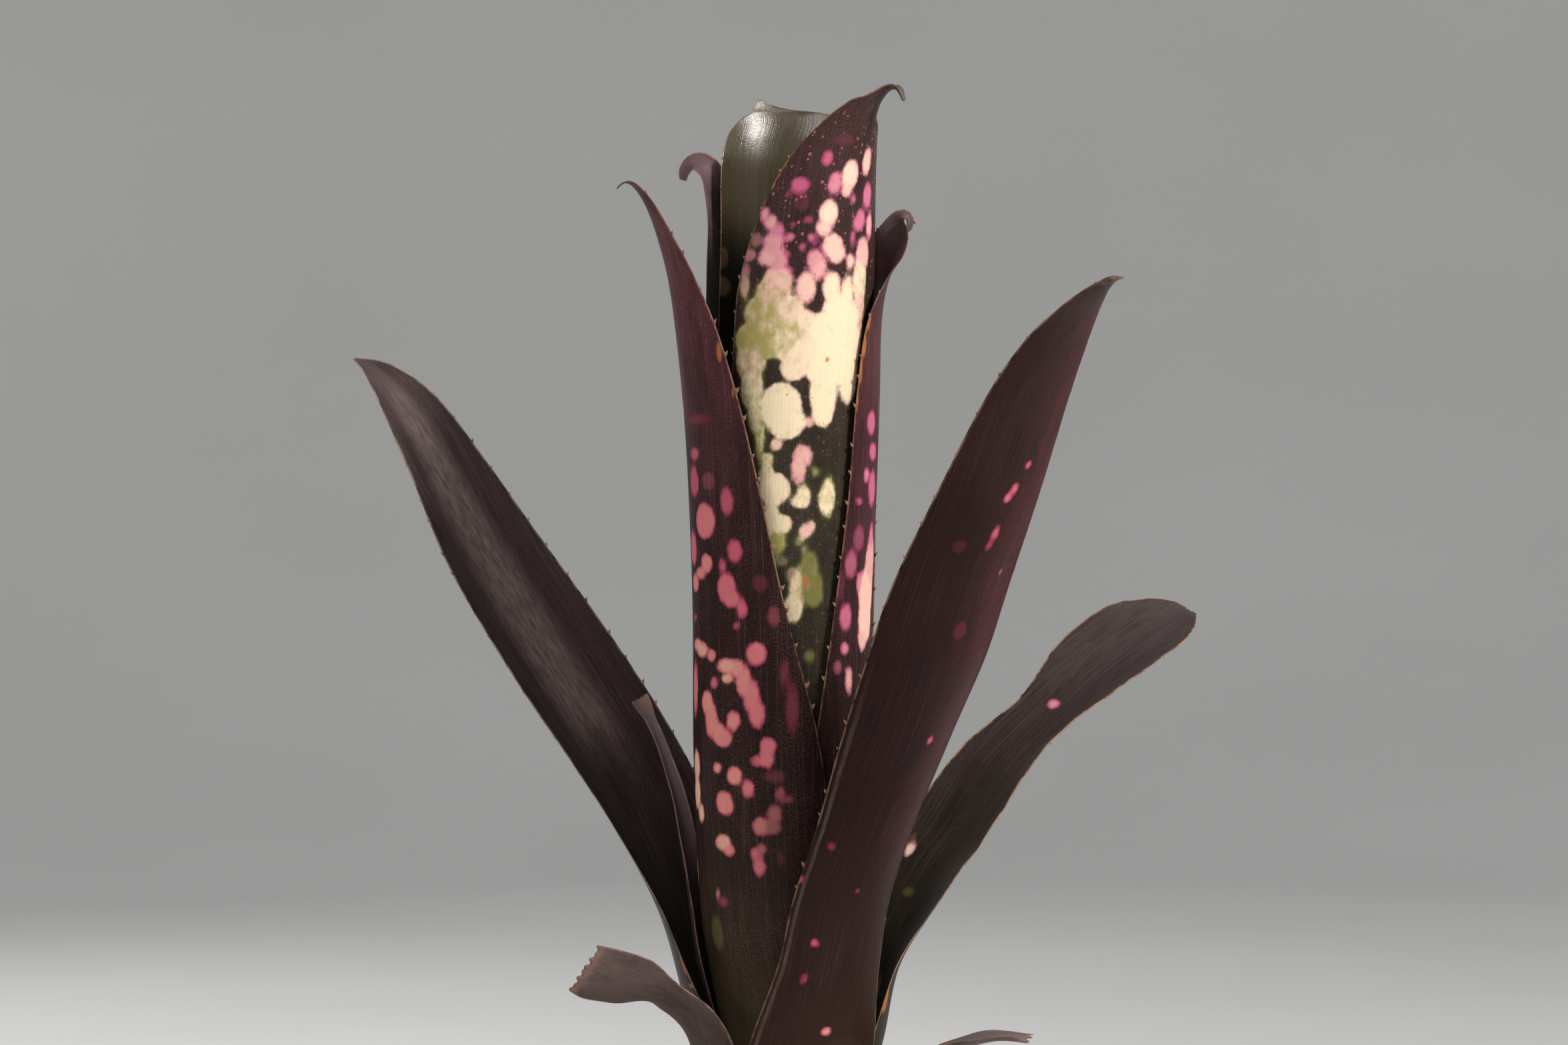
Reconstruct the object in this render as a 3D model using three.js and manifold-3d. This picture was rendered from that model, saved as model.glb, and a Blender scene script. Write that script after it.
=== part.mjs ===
// A potted bromeliad of the tube-forming kind: strap leaves that clasp one another around a short stem,
// rooted in a bark mix in a clay pot. Millimetres, +Z up. The origin is the centre of the pot's underside,
// and the plant is looked at along +Y. Angles in the tables are degrees.
import * as THREE from "three";
import Module from "manifold-3d";
import { mergeVertices } from "three/addons/utils/BufferGeometryUtils.js";

const wasm = await Module();
wasm.setup();

// Pot
const POT_HEIGHT = 118;
const POT_RIM_RADIUS = 63.5;
const POT_FOOT_RADIUS = 43;
const POT_WALL = 5;
const POT_FLOOR = 7;
const RIM_HEIGHT = 22;
const RIM_PROUD = 3.5;
const POT_SEGMENTS = 48;
const DRAIN_HOLES = 4;
const DRAIN_RADIUS = 4.5;
const DRAIN_CIRCLE_RADIUS = 22;
const DRAIN_SEGMENTS = 20;
const POT_EASE = 2;

// Potting mix, stem and roots
const SOIL_LEVEL = 108;
const GAP = 0.35;
const LEAF_SEAT = 0.95;
const MIX_EDGE_WIDTH = 4;
const MIX_EDGE_DROP = 2;
const STEM_FOOT_RADIUS = 12;
const STEM_FOOT_TAPER = 0.6;
const STEM_DEPTH = 24;
const STEM_TOP = 3;
const STEM_SEGMENTS = 24;
const ROOTS = 6;
const ROOT_RADIUS = 1.7;
const ROOT_REACH = 29;
const ROOT_DEPTH = 78;
const ROOT_STEPS = 8;

// Bark chips on the mix
const CHIPS = 9;
const CHIP_HALF_LENGTH = 10.5;
const CHIP_CIRCLE_RADIUS = 41;
const CHIP_WIDTH = 0.62;
const CHIP_THICKNESS = 0.34;

// Rosette. Layers count outwards from the heart leaf, and heights count from the soil.
const LEAF_THICKNESS = 0.8;
const LAYER_PITCH = 1.4;
const PROFILE_LAYER = 5;
const LOWEST_BASE = 2;
const BASE_RISE = 1.5;
const LEAN = 3;
const LEAN_FROM = 150;
const LEAN_TO = 350;
const BASE_EXTRA_ANGLE = 6;
const ROW_SPACING = 17;
const TANGENT_STEP = 0.05;

// [height, radius] of the leaves in PROFILE_LAYER while they clasp the rosette
const ROSETTE_PROFILE = [
  [0, 11.5],
  [25, 15],
  [50, 20],
  [75, 25],
  [100, 28.8],
  [125, 30.6],
  [150, 31],
  [200, 31],
  [260, 32.2],
  [400, 32.2],
];

// sheath rows clasp the rosette: [height, half-angle, distance outside the profile].
// blade rows are free: [height, distance from the axis, azimuth, half width, half-angle of the trough, twist].
// The first levelRows of the blade keep level sections, and the others turn square to the leaf's growth.
const LEAVES = [
  {
    name: "heart_leaf",
    color: 0x4a4a34,
    columns: 8,
    azimuth: 40,
    sheath: [
      [50, 120, -2],
      [90, 120, -10],
      [120, 110, -14],
    ],
    levelRows: 3,
    blade: [
      [140, 5, 40, 7, 80],
      [155, 3.5, 40, 4, 60],
      [166, 3, 40, 0.6, 40],
    ],
  },
  {
    name: "inner_back_leaf",
    color: 0x6b6148,
    columns: 10,
    azimuth: 100,
    sheath: [
      [50, 115],
      [75, 108],
      [100, 100],
      [150, 90],
      [200, 78],
      [250, 66],
      [300, 62],
      [330, 60],
    ],
    levelRows: 4,
    blade: [
      [347, 26.8, 100, 28, 60],
      [360, 26.8, 99, 26.5, 57],
      [368, 26.9, 96, 22, 47],
      [374.5, 27.4, 98, 14, 30],
      [378, 28.4, 106, 7, 20],
      [380, 29.6, 112, 2.5, 12],
      [381, 30.8, 113, 0.6, 8],
    ],
  },
  {
    name: "inner_front_leaf",
    color: 0xb98c83,
    columns: 10,
    azimuth: 308,
    sheath: [
      [50, 118],
      [75, 112],
      [100, 106],
      [150, 98],
      [200, 92],
      [250, 86],
      [299, 82],
    ],
    levelRows: 5,
    blade: [
      [315, 28.3, 308, 38, 77],
      [334, 28.4, 310, 32.7, 66],
      [347, 28.6, 313, 28.2, 56.5],
      [358, 29, 317, 23.8, 47],
      [366, 29.8, 320, 19, 37],
      [371.5, 31.2, 324, 13.5, 27],
      [375, 33, 327, 8.5, 22],
      [377.5, 35.2, 329, 4.6, 26],
      [379.5, 38, 330, 2.6, 40],
      [379, 41, 330, 1.8, 40],
      [375.5, 43, 330, 0.7, 30],
    ],
  },
  {
    name: "left_back_tube_leaf",
    color: 0x5d4a4e,
    columns: 10,
    azimuth: 145,
    sheath: [
      [50, 112],
      [75, 104],
      [100, 96],
      [150, 78],
      [200, 52],
    ],
    levelRows: 2,
    blade: [
      [250, 29.4, 148, 15.5, 31],
      [290, 29.7, 151, 12.5, 25],
      [320, 30.2, 153, 10, 22],
      [336, 30.4, 155, 8, 22],
      [346, 30.7, 157, 6.5, 24],
      [355.5, 31.5, 158, 5.5, 28],
      [360, 34, 160, 4.8, 30],
      [361, 37.5, 161, 4, 34],
      [358.5, 40.3, 161, 3, 40],
      [354, 41, 161, 1.2, 30],
    ],
  },
  {
    name: "right_tube_leaf",
    color: 0x5a4650,
    columns: 10,
    azimuth: 8,
    sheath: [
      [50, 112],
      [75, 100],
      [100, 92],
      [150, 79],
      [200, 64],
      [240, 55],
      [275, 50],
    ],
    levelRows: 1,
    blade: [
      [300, 31, 8, 21.8, 41],
      [317, 32.2, 8, 15, 30],
      [327, 33.6, 8, 11, 24],
      [333.5, 35.4, 8, 8.5, 24],
      [338, 37.2, 8, 5, 34],
      [340.5, 39, 7, 3, 50],
      [340, 41, 7, 2.4, 60],
      [337.5, 41.8, 7, 2, 60],
      [335.2, 40.6, 7, 1.5, 50],
      [335.6, 39, 7, 0.8, 30],
    ],
  },
  {
    name: "left_front_tube_leaf",
    color: 0x6a4c55,
    columns: 10,
    azimuth: 205,
    sheath: [
      [50, 115],
      [75, 108],
      [100, 100],
      [150, 90],
      [200, 66, 0.8],
    ],
    levelRows: 1,
    blade: [
      [240, 34, 205, 29.5, 50],
      [270, 36.5, 205, 24, 38],
      [295, 40, 205, 18, 30],
      [314, 44, 204, 12, 27],
      [328, 48.5, 203, 7.5, 26],
      [339, 53, 202, 4.6, 26],
      [346, 57.5, 201, 2.8, 26],
      [348, 61, 200, 1.8, 26],
      [346, 64, 200, 0.6, 20],
    ],
  },
  {
    name: "back_leaf",
    color: 0x4c3a42,
    columns: 6,
    azimuth: 76,
    sheath: [
      [50, 75],
      [85, 62, 0.4],
    ],
    levelRows: 0,
    blade: [
      [120, 35.5, 76, 27, 42],
      [155, 43, 76, 23.5, 36],
      [190, 56, 77, 22, 34],
      [225, 74, 78, 19, 34],
      [250, 93, 79, 14, 30],
      [264, 109, 80, 8, 26],
      [269, 119, 80, 0.8, 20],
    ],
  },
  {
    name: "withered_back_leaf",
    color: 0x5f554f,
    columns: 6,
    azimuth: 166,
    sheath: [[45, 42]],
    levelRows: 0,
    blade: [
      [80, 30.5, 166, 12, 34],
      [110, 34.5, 166, 8.5, 55],
      [135, 38.5, 166, 5.5, 60],
      [155, 44, 166, 4, 60],
      [166, 49, 167, 3.4, 60],
      [170, 53, 168, 2.4, 50],
    ],
  },
  {
    name: "left_back_leaf",
    color: 0x4b3f4b,
    columns: 6,
    azimuth: 152,
    sheath: [
      [30, 84, 3.5],
      [50, 80, 7.3],
    ],
    levelRows: 0,
    blade: [
      [72, 36.5, 152, 34, 58],
      [96, 42, 152, 29, 50, -8],
      [124, 54, 152, 26, 42, -18],
      [151, 70.5, 152, 25, 36, -24],
      [179, 91, 152, 24, 32, -28],
      [217, 119.5, 152, 21, 28, -30],
      [250, 141, 152, 16, 26, -30],
      [272, 155, 153, 12.5, 24, -28],
      [285, 166, 154, 7.5, 20, -24],
      [291, 175, 155, 1, 15, -20],
    ],
  },
  {
    name: "right_back_leaf",
    color: 0x55494f,
    columns: 6,
    azimuth: 36,
    sheath: [
      [30, 76, 4],
      [50, 68, 8],
    ],
    levelRows: 0,
    blade: [
      [75, 41, 36, 29, 50],
      [92, 50, 35, 24, 44, 10],
      [109, 61.5, 34, 19.5, 36, 18],
      [121, 72, 33, 18, 34, 22],
      [144, 91, 33, 15.5, 32, 25],
      [162, 112, 32, 13, 28, 26],
      [179, 134, 32, 18.5, 24, 26],
      [191, 152, 31, 18.5, 20, 26],
      [197.5, 165, 31, 13, 16, 24],
      [200, 172, 31, 5, 12, 22],
    ],
  },
  {
    name: "right_front_leaf",
    color: 0x43272d,
    columns: 6,
    azimuth: 289,
    sheath: [
      [30, 46, 4.5],
      [50, 40, 8.5],
    ],
    levelRows: 0,
    blade: [
      [78, 40, 297, 21.3, 40],
      [100, 43.8, 302, 21.5, 42],
      [125, 53, 307, 23, 42],
      [154, 66, 310, 26.5, 38],
      [182, 81, 310, 28.3, 34],
      [208, 92.5, 310, 27.5, 31],
      [241, 109.5, 310, 23.5, 28],
      [270, 124.5, 310, 19, 26],
      [290, 137, 310, 14.5, 24],
      [303, 149, 310, 9, 22],
      [308, 158, 310, 5, 16],
      [309.5, 165, 310, 1.5, 12],
    ],
  },
  {
    name: "old_back_leaf",
    color: 0x54453f,
    columns: 6,
    azimuth: 102,
    sheath: [[25, 70, 2]],
    levelRows: 0,
    blade: [
      [45, 36, 102, 24, 42],
      [66, 50, 102, 19, 36],
      [84, 69, 103, 17, 32],
      [96, 91, 104, 15, 28],
      [101, 112, 105, 11, 26],
      [100, 127, 106, 5, 20],
      [98, 133, 106, 0.8, 15],
    ],
  },
  {
    name: "old_right_leaf",
    color: 0x5c4f48,
    columns: 6,
    azimuth: 342,
    sheath: [[20, 62, 2]],
    levelRows: 0,
    blade: [
      [34, 37, 342, 20, 40],
      [44, 50, 342, 16, 34],
      [51, 64, 342, 14, 28],
      [54.5, 77, 342, 12, 22],
      [54, 88, 342, 8.5, 24],
    ],
  },
  {
    name: "old_left_leaf",
    color: 0x6d5d5b,
    columns: 6,
    azimuth: 222,
    sheath: [[22, 40, 2.5]],
    levelRows: 0,
    blade: [
      [38, 33.8, 221, 14, 26],
      [51, 36, 221, 12.5, 34],
      [62, 43, 221, 11, 36, 12],
      [70, 56, 222, 11, 34, 35],
      [76, 71, 222, 11.5, 28, 52],
      [81, 84, 222, 10.5, 24, 58],
      [83.5, 90, 222, 9, 24, 60],
    ],
  },
];

const { degToRad, clamp, smoothstep, lerp } = THREE.MathUtils;

// Height at which the leaf of a layer grows out of the stem
function baseHeight(layer) {
  return LOWEST_BASE + BASE_RISE * (LEAVES.length - 1 - layer);
}

// Radius of a clasping leaf's middle at a height
function rosetteRadius(height, layer) {
  const upper = ROSETTE_PROFILE.findIndex(([level]) => level > height);
  const [h0, r0] = ROSETTE_PROFILE[upper - 1];
  const [h1, r1] = ROSETTE_PROFILE[upper];
  return lerp(r0, r1, (height - h0) / (h1 - h0)) + (layer - PROFILE_LAYER) * LAYER_PITCH;
}

// Catmull-Rom interpolation of equally long rows of numbers, at t from 0 to rows.length - 1
function along(rows, t) {
  const last = rows.length - 1;
  const i = Math.min(last - 1, Math.floor(t));
  const f = t - i;
  const [a, b, c, d] = [i - 1, i, i + 1, i + 2].map((k) => rows[clamp(k, 0, last)]);
  return b.map((p, k) => {
    const slope = c[k] - a[k];
    const bend = 2 * a[k] - 5 * p + 4 * c[k] - d[k];
    const twist = 3 * (p - c[k]) + d[k] - a[k];
    return p + 0.5 * f * (slope + f * (bend + f * twist));
  });
}

// Rows of [x, y, z, azimuth, half width, half-angle, twist, squareness] along a leaf, with angles in radians
function leafRows(leaf, layer) {
  const base = [baseHeight(layer), leaf.sheath[0][1] + BASE_EXTRA_ANGLE];
  const clasping = [base, ...leaf.sheath].map(([height, angle, flare = 0]) => {
    const radius = rosetteRadius(height, layer) + flare;
    return [height, radius, leaf.azimuth, radius * degToRad(angle), angle, 0, 0];
  });
  const free = leaf.blade.map(([height, radius, azimuth, half, angle, twist = 0], k) => {
    const squareness = smoothstep(k, leaf.levelRows - 1, leaf.levelRows + 1);
    return [height, radius, azimuth, half, angle, twist, squareness];
  });
  return [...clasping, ...free].map(([height, radius, azimuth, half, angle, twist, squareness]) => {
    const facing = degToRad(azimuth);
    const lean = LEAN * smoothstep(height, LEAN_FROM, LEAN_TO);
    const x = lean + radius * Math.cos(facing);
    const y = radius * Math.sin(facing);
    return [x, y, SOIL_LEVEL + height, facing, half, degToRad(angle), degToRad(twist), squareness];
  });
}

// A leaf's section at t: an arc through the middle of the leaf, bulging away from the axis
function leafSection(rows, t) {
  const [x, y, z, facing, half, angle, twist, squareness] = along(rows, t);
  const before = along(rows, Math.max(0, t - TANGENT_STEP));
  const after = along(rows, Math.min(rows.length - 1, t + TANGENT_STEP));
  const growth = new THREE.Vector3().fromArray(after).sub(new THREE.Vector3().fromArray(before)).normalize();
  const tangent = new THREE.Vector3(0, 0, 1).lerp(growth, clamp(squareness, 0, 1)).normalize();
  const side = new THREE.Vector3(-Math.sin(facing), Math.cos(facing), 0);
  side.addScaledVector(tangent, -side.dot(tangent)).normalize().applyAxisAngle(tangent, twist);
  const outward = new THREE.Vector3().crossVectors(side, tangent);
  return { middle: new THREE.Vector3(x, y, z), side, outward, angle, radius: half / angle };
}

// The places along a leaf where its shell has vertices: every row of the table, and more on long stretches
function rowPlaces(rows) {
  const places = [0];
  for (let i = 1; i < rows.length; i++) {
    const stretch = Math.hypot(...[0, 1, 2].map((k) => rows[i][k] - rows[i - 1][k]));
    const steps = Math.ceil(stretch / ROW_SPACING);
    for (let k = 1; k <= steps; k++) places.push(i - 1 + k / steps);
  }
  return places;
}

// A closed shell of a leaf's thickness, with its outer face first and then its inner one
function leafGeometry(leaf, layer) {
  const rows = leafRows(leaf, layer);
  const sections = rowPlaces(rows).map((t) => leafSection(rows, t));
  const { columns } = leaf;
  const positions = [];
  for (const face of [0.5, -0.5]) {
    for (const { middle, side, outward, angle, radius } of sections) {
      for (let j = 0; j <= columns; j++) {
        const turn = angle * ((2 * j) / columns - 1);
        const reach = radius + face * LEAF_THICKNESS;
        const point = middle.clone().addScaledVector(outward, reach * Math.cos(turn) - radius);
        positions.push(...point.addScaledVector(side, reach * Math.sin(turn)));
      }
    }
  }
  const width = columns + 1;
  const inner = sections.length * width;
  const triangles = [];
  const quad = (a, b, c, d) => triangles.push(a, b, c, a, c, d);
  for (let i = 0; i < sections.length - 1; i++) {
    const left = i * width;
    const right = left + columns;
    for (let a = left; a < right; a++) {
      quad(a, a + 1, a + 1 + width, a + width);
      quad(inner + a, inner + a + width, inner + a + 1 + width, inner + a + 1);
    }
    quad(left, left + width, inner + left + width, inner + left);
    quad(right, inner + right, inner + right + width, right + width);
  }
  for (let foot = 0; foot < columns; foot++) {
    const tip = foot + (sections.length - 1) * width;
    quad(foot, inner + foot, inner + foot + 1, foot + 1);
    quad(tip, tip + 1, inner + tip + 1, inner + tip);
  }
  const geometry = new THREE.BufferGeometry();
  geometry.setAttribute("position", new THREE.Float32BufferAttribute(positions, 3));
  geometry.setIndex(triangles);
  return geometry;
}

function toSolid(geometry) {
  const bare = new THREE.BufferGeometry().setAttribute("position", geometry.getAttribute("position"));
  bare.setIndex(geometry.getIndex());
  const merged = mergeVertices(bare, 1e-4);
  const vertProperties = merged.getAttribute("position").array;
  const triVerts = new Uint32Array(merged.getIndex().array);
  return new wasm.Manifold(new wasm.Mesh({ numProp: 3, vertProperties, triVerts }));
}

function fromSolid(solid) {
  const { vertProperties, triVerts } = solid.getMesh();
  const geometry = new THREE.BufferGeometry();
  geometry.setAttribute("position", new THREE.BufferAttribute(vertProperties, 3));
  geometry.setIndex(new THREE.BufferAttribute(triVerts, 1));
  return geometry;
}

// A solid of revolution about Z from [radius, z] points that start and end on the axis, from the bottom up
function turned(points, segments) {
  const profile = points.map(([radius, z]) => new THREE.Vector2(radius, z));
  return new THREE.LatheGeometry(profile, segments).rotateX(Math.PI / 2);
}

// The pot's radius on its outside wall at a height, and inside it by POT_WALL
function potRadius(z) {
  return lerp(POT_FOOT_RADIUS, POT_RIM_RADIUS - RIM_PROUD, z / POT_HEIGHT);
}

function potGeometry() {
  const rimFoot = POT_HEIGHT - RIM_HEIGHT;
  const shell = turned(
    [
      [0, 0],
      [POT_FOOT_RADIUS - POT_EASE, 0],
      [potRadius(POT_EASE), POT_EASE],
      [potRadius(rimFoot), rimFoot],
      [potRadius(rimFoot) + RIM_PROUD, rimFoot + POT_EASE],
      [POT_RIM_RADIUS, POT_HEIGHT - POT_EASE],
      [POT_RIM_RADIUS - POT_EASE, POT_HEIGHT],
      [potRadius(POT_HEIGHT) - POT_WALL + POT_EASE, POT_HEIGHT],
      [potRadius(POT_HEIGHT - POT_EASE) - POT_WALL, POT_HEIGHT - POT_EASE],
      [potRadius(POT_FLOOR) - POT_WALL, POT_FLOOR],
      [0, POT_FLOOR],
    ],
    POT_SEGMENTS,
  );
  let pot = toSolid(shell);
  for (let k = 0; k < DRAIN_HOLES; k++) {
    const turn = (2 * Math.PI * (k + 0.5)) / DRAIN_HOLES;
    const hole = new THREE.CylinderGeometry(DRAIN_RADIUS, DRAIN_RADIUS, 3 * POT_FLOOR, DRAIN_SEGMENTS);
    hole.rotateX(Math.PI / 2);
    hole.translate(DRAIN_CIRCLE_RADIUS * Math.cos(turn), DRAIN_CIRCLE_RADIUS * Math.sin(turn), 0);
    pot = pot.subtract(toSolid(hole));
  }
  return fromSolid(pot);
}

// The stem's radius where the leaf of a layer grows out of it
function stemRadius(layer) {
  return rosetteRadius(baseHeight(layer), layer) - LEAF_THICKNESS / 2 - LEAF_SEAT;
}

// A root from the foot of the stem, which spreads and then turns down
function rootGeometry(index, extra) {
  const turn = (2 * Math.PI * index) / ROOTS + 0.4 * Math.sin(7 * index);
  const reach = ROOT_REACH * (1 + 0.12 * Math.sin(3 * index));
  const depth = ROOT_DEPTH * (1 - 0.18 * Math.cos(5 * index));
  const outAndDown = [
    [0.1, 0.14],
    [0.5, 0.28],
    [0.85, 0.55],
    [1, 1],
  ];
  const path = new THREE.CatmullRomCurve3(
    outAndDown.map(([out, down], k) => {
      const sway = turn + 0.12 * k;
      const radius = reach * out;
      return new THREE.Vector3(radius * Math.cos(sway), radius * Math.sin(sway), SOIL_LEVEL - depth * down);
    }),
  );
  const section = new THREE.Shape().absarc(0, 0, ROOT_RADIUS + extra, 0, 2 * Math.PI);
  const options = { steps: ROOT_STEPS, curveSegments: 3, bevelEnabled: false, extrudePath: path };
  return new THREE.ExtrudeGeometry(section, options);
}

// The stem with its roots, larger all round by extra
function rootedStem(extra) {
  const layers = LEAVES.map((_, layer) => layer).reverse();
  const stem = turned(
    [
      [0, SOIL_LEVEL - STEM_DEPTH - extra],
      [STEM_FOOT_RADIUS * STEM_FOOT_TAPER + extra, SOIL_LEVEL - STEM_DEPTH - extra],
      [STEM_FOOT_RADIUS + extra, SOIL_LEVEL - STEM_DEPTH * STEM_FOOT_TAPER],
      [stemRadius(layers[0]) + extra, SOIL_LEVEL - 1],
      ...layers.map((layer) => [stemRadius(layer) + extra, SOIL_LEVEL + baseHeight(layer)]),
      [0, SOIL_LEVEL + baseHeight(0) + STEM_TOP + extra],
    ],
    STEM_SEGMENTS,
  );
  let solid = toSolid(stem);
  for (let k = 0; k < ROOTS; k++) solid = solid.add(toSolid(rootGeometry(k, extra)));
  return solid;
}

// The mix fills the pot's inside up to its level, and is hollowed for the stem and roots
function mixGeometry() {
  const inside = (z) => potRadius(z) - POT_WALL - GAP;
  const body = turned(
    [
      [0, POT_FLOOR + GAP],
      [inside(POT_FLOOR), POT_FLOOR + GAP],
      [inside(SOIL_LEVEL - MIX_EDGE_DROP), SOIL_LEVEL - MIX_EDGE_DROP],
      [inside(SOIL_LEVEL) - MIX_EDGE_WIDTH, SOIL_LEVEL],
      [0, SOIL_LEVEL],
    ],
    POT_SEGMENTS,
  );
  return fromSolid(toSolid(body).subtract(rootedStem(GAP)));
}

// A flat, uneven lump of bark that lies on the mix
function chipGeometry(index) {
  const chip = new THREE.IcosahedronGeometry(CHIP_HALF_LENGTH, 0);
  const corners = chip.getAttribute("position");
  const size = 0.85 + 0.25 * Math.sin(5 * index);
  for (let k = 0; k < corners.count; k++) {
    const corner = new THREE.Vector3().fromBufferAttribute(corners, k);
    const uneven = 1 + 0.16 * Math.sin(corner.x * 1.7 + index) + 0.14 * Math.cos(corner.y * 2.3 + 2 * index);
    corner.multiplyScalar(size * uneven);
    corners.setXYZ(k, corner.x, CHIP_WIDTH * corner.y, CHIP_THICKNESS * corner.z);
  }
  const turn = (2 * Math.PI * index) / CHIPS + 0.25 * Math.sin(4 * index);
  const radius = CHIP_CIRCLE_RADIUS + 3.5 * Math.cos(3 * index);
  chip.rotateX(0.14 * Math.sin(2 * index)).rotateZ(turn + 1.1 + 0.9 * Math.sin(6 * index));
  chip.computeBoundingBox();
  const rise = SOIL_LEVEL + GAP - chip.boundingBox.min.z;
  return chip.translate(radius * Math.cos(turn), radius * Math.sin(turn), rise);
}

const plant = new THREE.Group();

function addPiece(name, geometry, color, roughness) {
  geometry.computeVertexNormals();
  const mesh = new THREE.Mesh(geometry, new THREE.MeshStandardMaterial({ color, roughness, metalness: 0 }));
  mesh.name = name;
  plant.add(mesh);
}

LEAVES.forEach((leaf, layer) => addPiece(leaf.name, leafGeometry(leaf, layer), leaf.color, 0.5));
addPiece("rooted_stem", fromSolid(rootedStem(0)), 0x6a4b33, 0.8);
addPiece("potting_mix", mixGeometry(), 0x2c211a, 0.95);
for (let k = 0; k < CHIPS; k++) addPiece(`bark_chip_${k + 1}`, chipGeometry(k), 0x5b3a26, 0.9);
addPiece("clay_pot", potGeometry(), 0xa65a3c, 0.85);

export default plant;
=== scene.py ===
import bpy
import numpy as np
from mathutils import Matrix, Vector


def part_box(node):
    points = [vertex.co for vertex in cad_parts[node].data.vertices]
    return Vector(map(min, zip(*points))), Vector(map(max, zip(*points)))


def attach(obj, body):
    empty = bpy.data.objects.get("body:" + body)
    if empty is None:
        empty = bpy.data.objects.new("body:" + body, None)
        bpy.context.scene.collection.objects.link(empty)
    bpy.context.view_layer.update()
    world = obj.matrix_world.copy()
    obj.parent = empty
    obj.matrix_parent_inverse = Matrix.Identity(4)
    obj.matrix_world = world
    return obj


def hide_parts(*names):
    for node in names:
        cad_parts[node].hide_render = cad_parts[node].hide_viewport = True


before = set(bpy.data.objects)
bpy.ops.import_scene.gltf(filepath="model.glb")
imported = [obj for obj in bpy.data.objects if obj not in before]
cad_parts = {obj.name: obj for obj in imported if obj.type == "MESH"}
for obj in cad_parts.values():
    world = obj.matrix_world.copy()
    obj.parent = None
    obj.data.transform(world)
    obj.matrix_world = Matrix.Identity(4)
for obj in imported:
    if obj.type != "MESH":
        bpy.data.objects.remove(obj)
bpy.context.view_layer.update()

# The clay pot. A plain flowerpot, turned from red clay and fired without a glaze, with a heavy rim and four
# drain holes cut through its floor. Use has left pale salts on its wall and damp clay around its foot.
MM = 0.001
POT_HEIGHT = 118
POT_RIM_RADIUS = 63.5
POT_FOOT_RADIUS = 43
POT_WALL = 5
POT_FLOOR = 7
RIM_HEIGHT = 22
RIM_PROUD = 3.5
DRAIN_HOLES = 4
DRAIN_RADIUS = 4.5
DRAIN_CIRCLE_RADIUS = 22
POT_SEGMENTS = 168
POT_POINT_SPACING = 2.5
DRAIN_SEGMENTS = 40
SHARP_ANGLE = 40


def quads_on_grid(rows, columns, around=False):
    """Faces between the neighbours of a grid whose points are stored row by row. around joins the last column
    to the first."""
    down = np.arange(rows - 1)[:, None]
    across = np.arange(columns if around else columns - 1)[None, :]
    here = down * columns + across
    beside = down * columns + (across + 1) % columns
    return np.stack([here, beside, beside + columns, here + columns], axis=-1).reshape(-1, 4)


def fan(pole, ring, outward_up):
    """Triangles that close a ring of points with one pole, in either direction round it."""
    following = np.roll(ring, -1)
    pole = np.full(len(ring), pole)
    return np.stack([ring, following, pole] if outward_up else [pole, following, ring], axis=1)


def new_piece(name, points, faces, slot="", replaced=(), attributes=None):
    """A piece at the origin from points in millimetres. faces is a list of arrays with one face's points per
    row. With a slot it rides on the frame's root, in the place of the nodes replaced."""
    mesh = bpy.data.meshes.new(name)
    corners = np.concatenate([part.ravel() for part in faces]).astype(np.int32)
    sizes = np.concatenate([np.full(len(part), part.shape[1]) for part in faces])
    starts = np.concatenate([[0], np.cumsum(sizes)[:-1]]).astype(np.int32)
    mesh.vertices.add(len(points))
    mesh.vertices.foreach_set("co", (points * MM).astype(np.float32).ravel())
    mesh.loops.add(len(corners))
    mesh.loops.foreach_set("vertex_index", corners)
    mesh.polygons.add(len(sizes))
    mesh.polygons.foreach_set("loop_start", starts)
    mesh.polygons.foreach_set("use_smooth", np.ones(len(sizes), bool))
    mesh.update(calc_edges=True)
    for key, values in (attributes or {}).items():
        layer = mesh.attributes.new(key, "FLOAT_VECTOR", "POINT")
        layer.data.foreach_set("vector", values.astype(np.float32).ravel())
    piece = bpy.data.objects.new(name, mesh)
    bpy.context.scene.collection.objects.link(piece)
    if slot:
        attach(piece, "root")
    if replaced:
        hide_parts(*replaced)
    return piece


def unit(vectors):
    """Vectors divided by their lengths."""
    return vectors / np.maximum(np.linalg.norm(vectors, axis=-1, keepdims=True), 1e-9)


def eased(corners, steps=6):
    """A profile whose corners, given as rows of radius, height and easing, are rounded by a parabola that
    starts and ends at the easing's distance from the corner."""
    corners = np.array(corners, float)
    places = [corners[:1, :2]]
    along = np.linspace(0, 1, steps)[:, None]
    for before, corner, after in zip(corners[:-2], corners[1:-1], corners[2:]):
        start = corner[:2] + corner[2] * unit(before[:2] - corner[:2])
        end = corner[:2] + corner[2] * unit(after[:2] - corner[:2])
        places.append(start * (1 - along) ** 2 + corner[:2] * 2 * along * (1 - along) + end * along**2)
    return np.concatenate(places + [corners[-1:, :2]])


def refined(profile, spacing):
    """A profile with points added so that no two neighbours are further apart than the spacing."""
    steps = np.maximum(1, np.ceil(np.linalg.norm(np.diff(profile, axis=0), axis=1) / spacing)).astype(int)
    index = np.concatenate([i + np.arange(n) / n for i, n in enumerate(steps)] + [[len(steps)]])
    return np.stack([np.interp(index, np.arange(len(profile)), profile[:, k]) for k in range(2)], axis=1)


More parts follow.
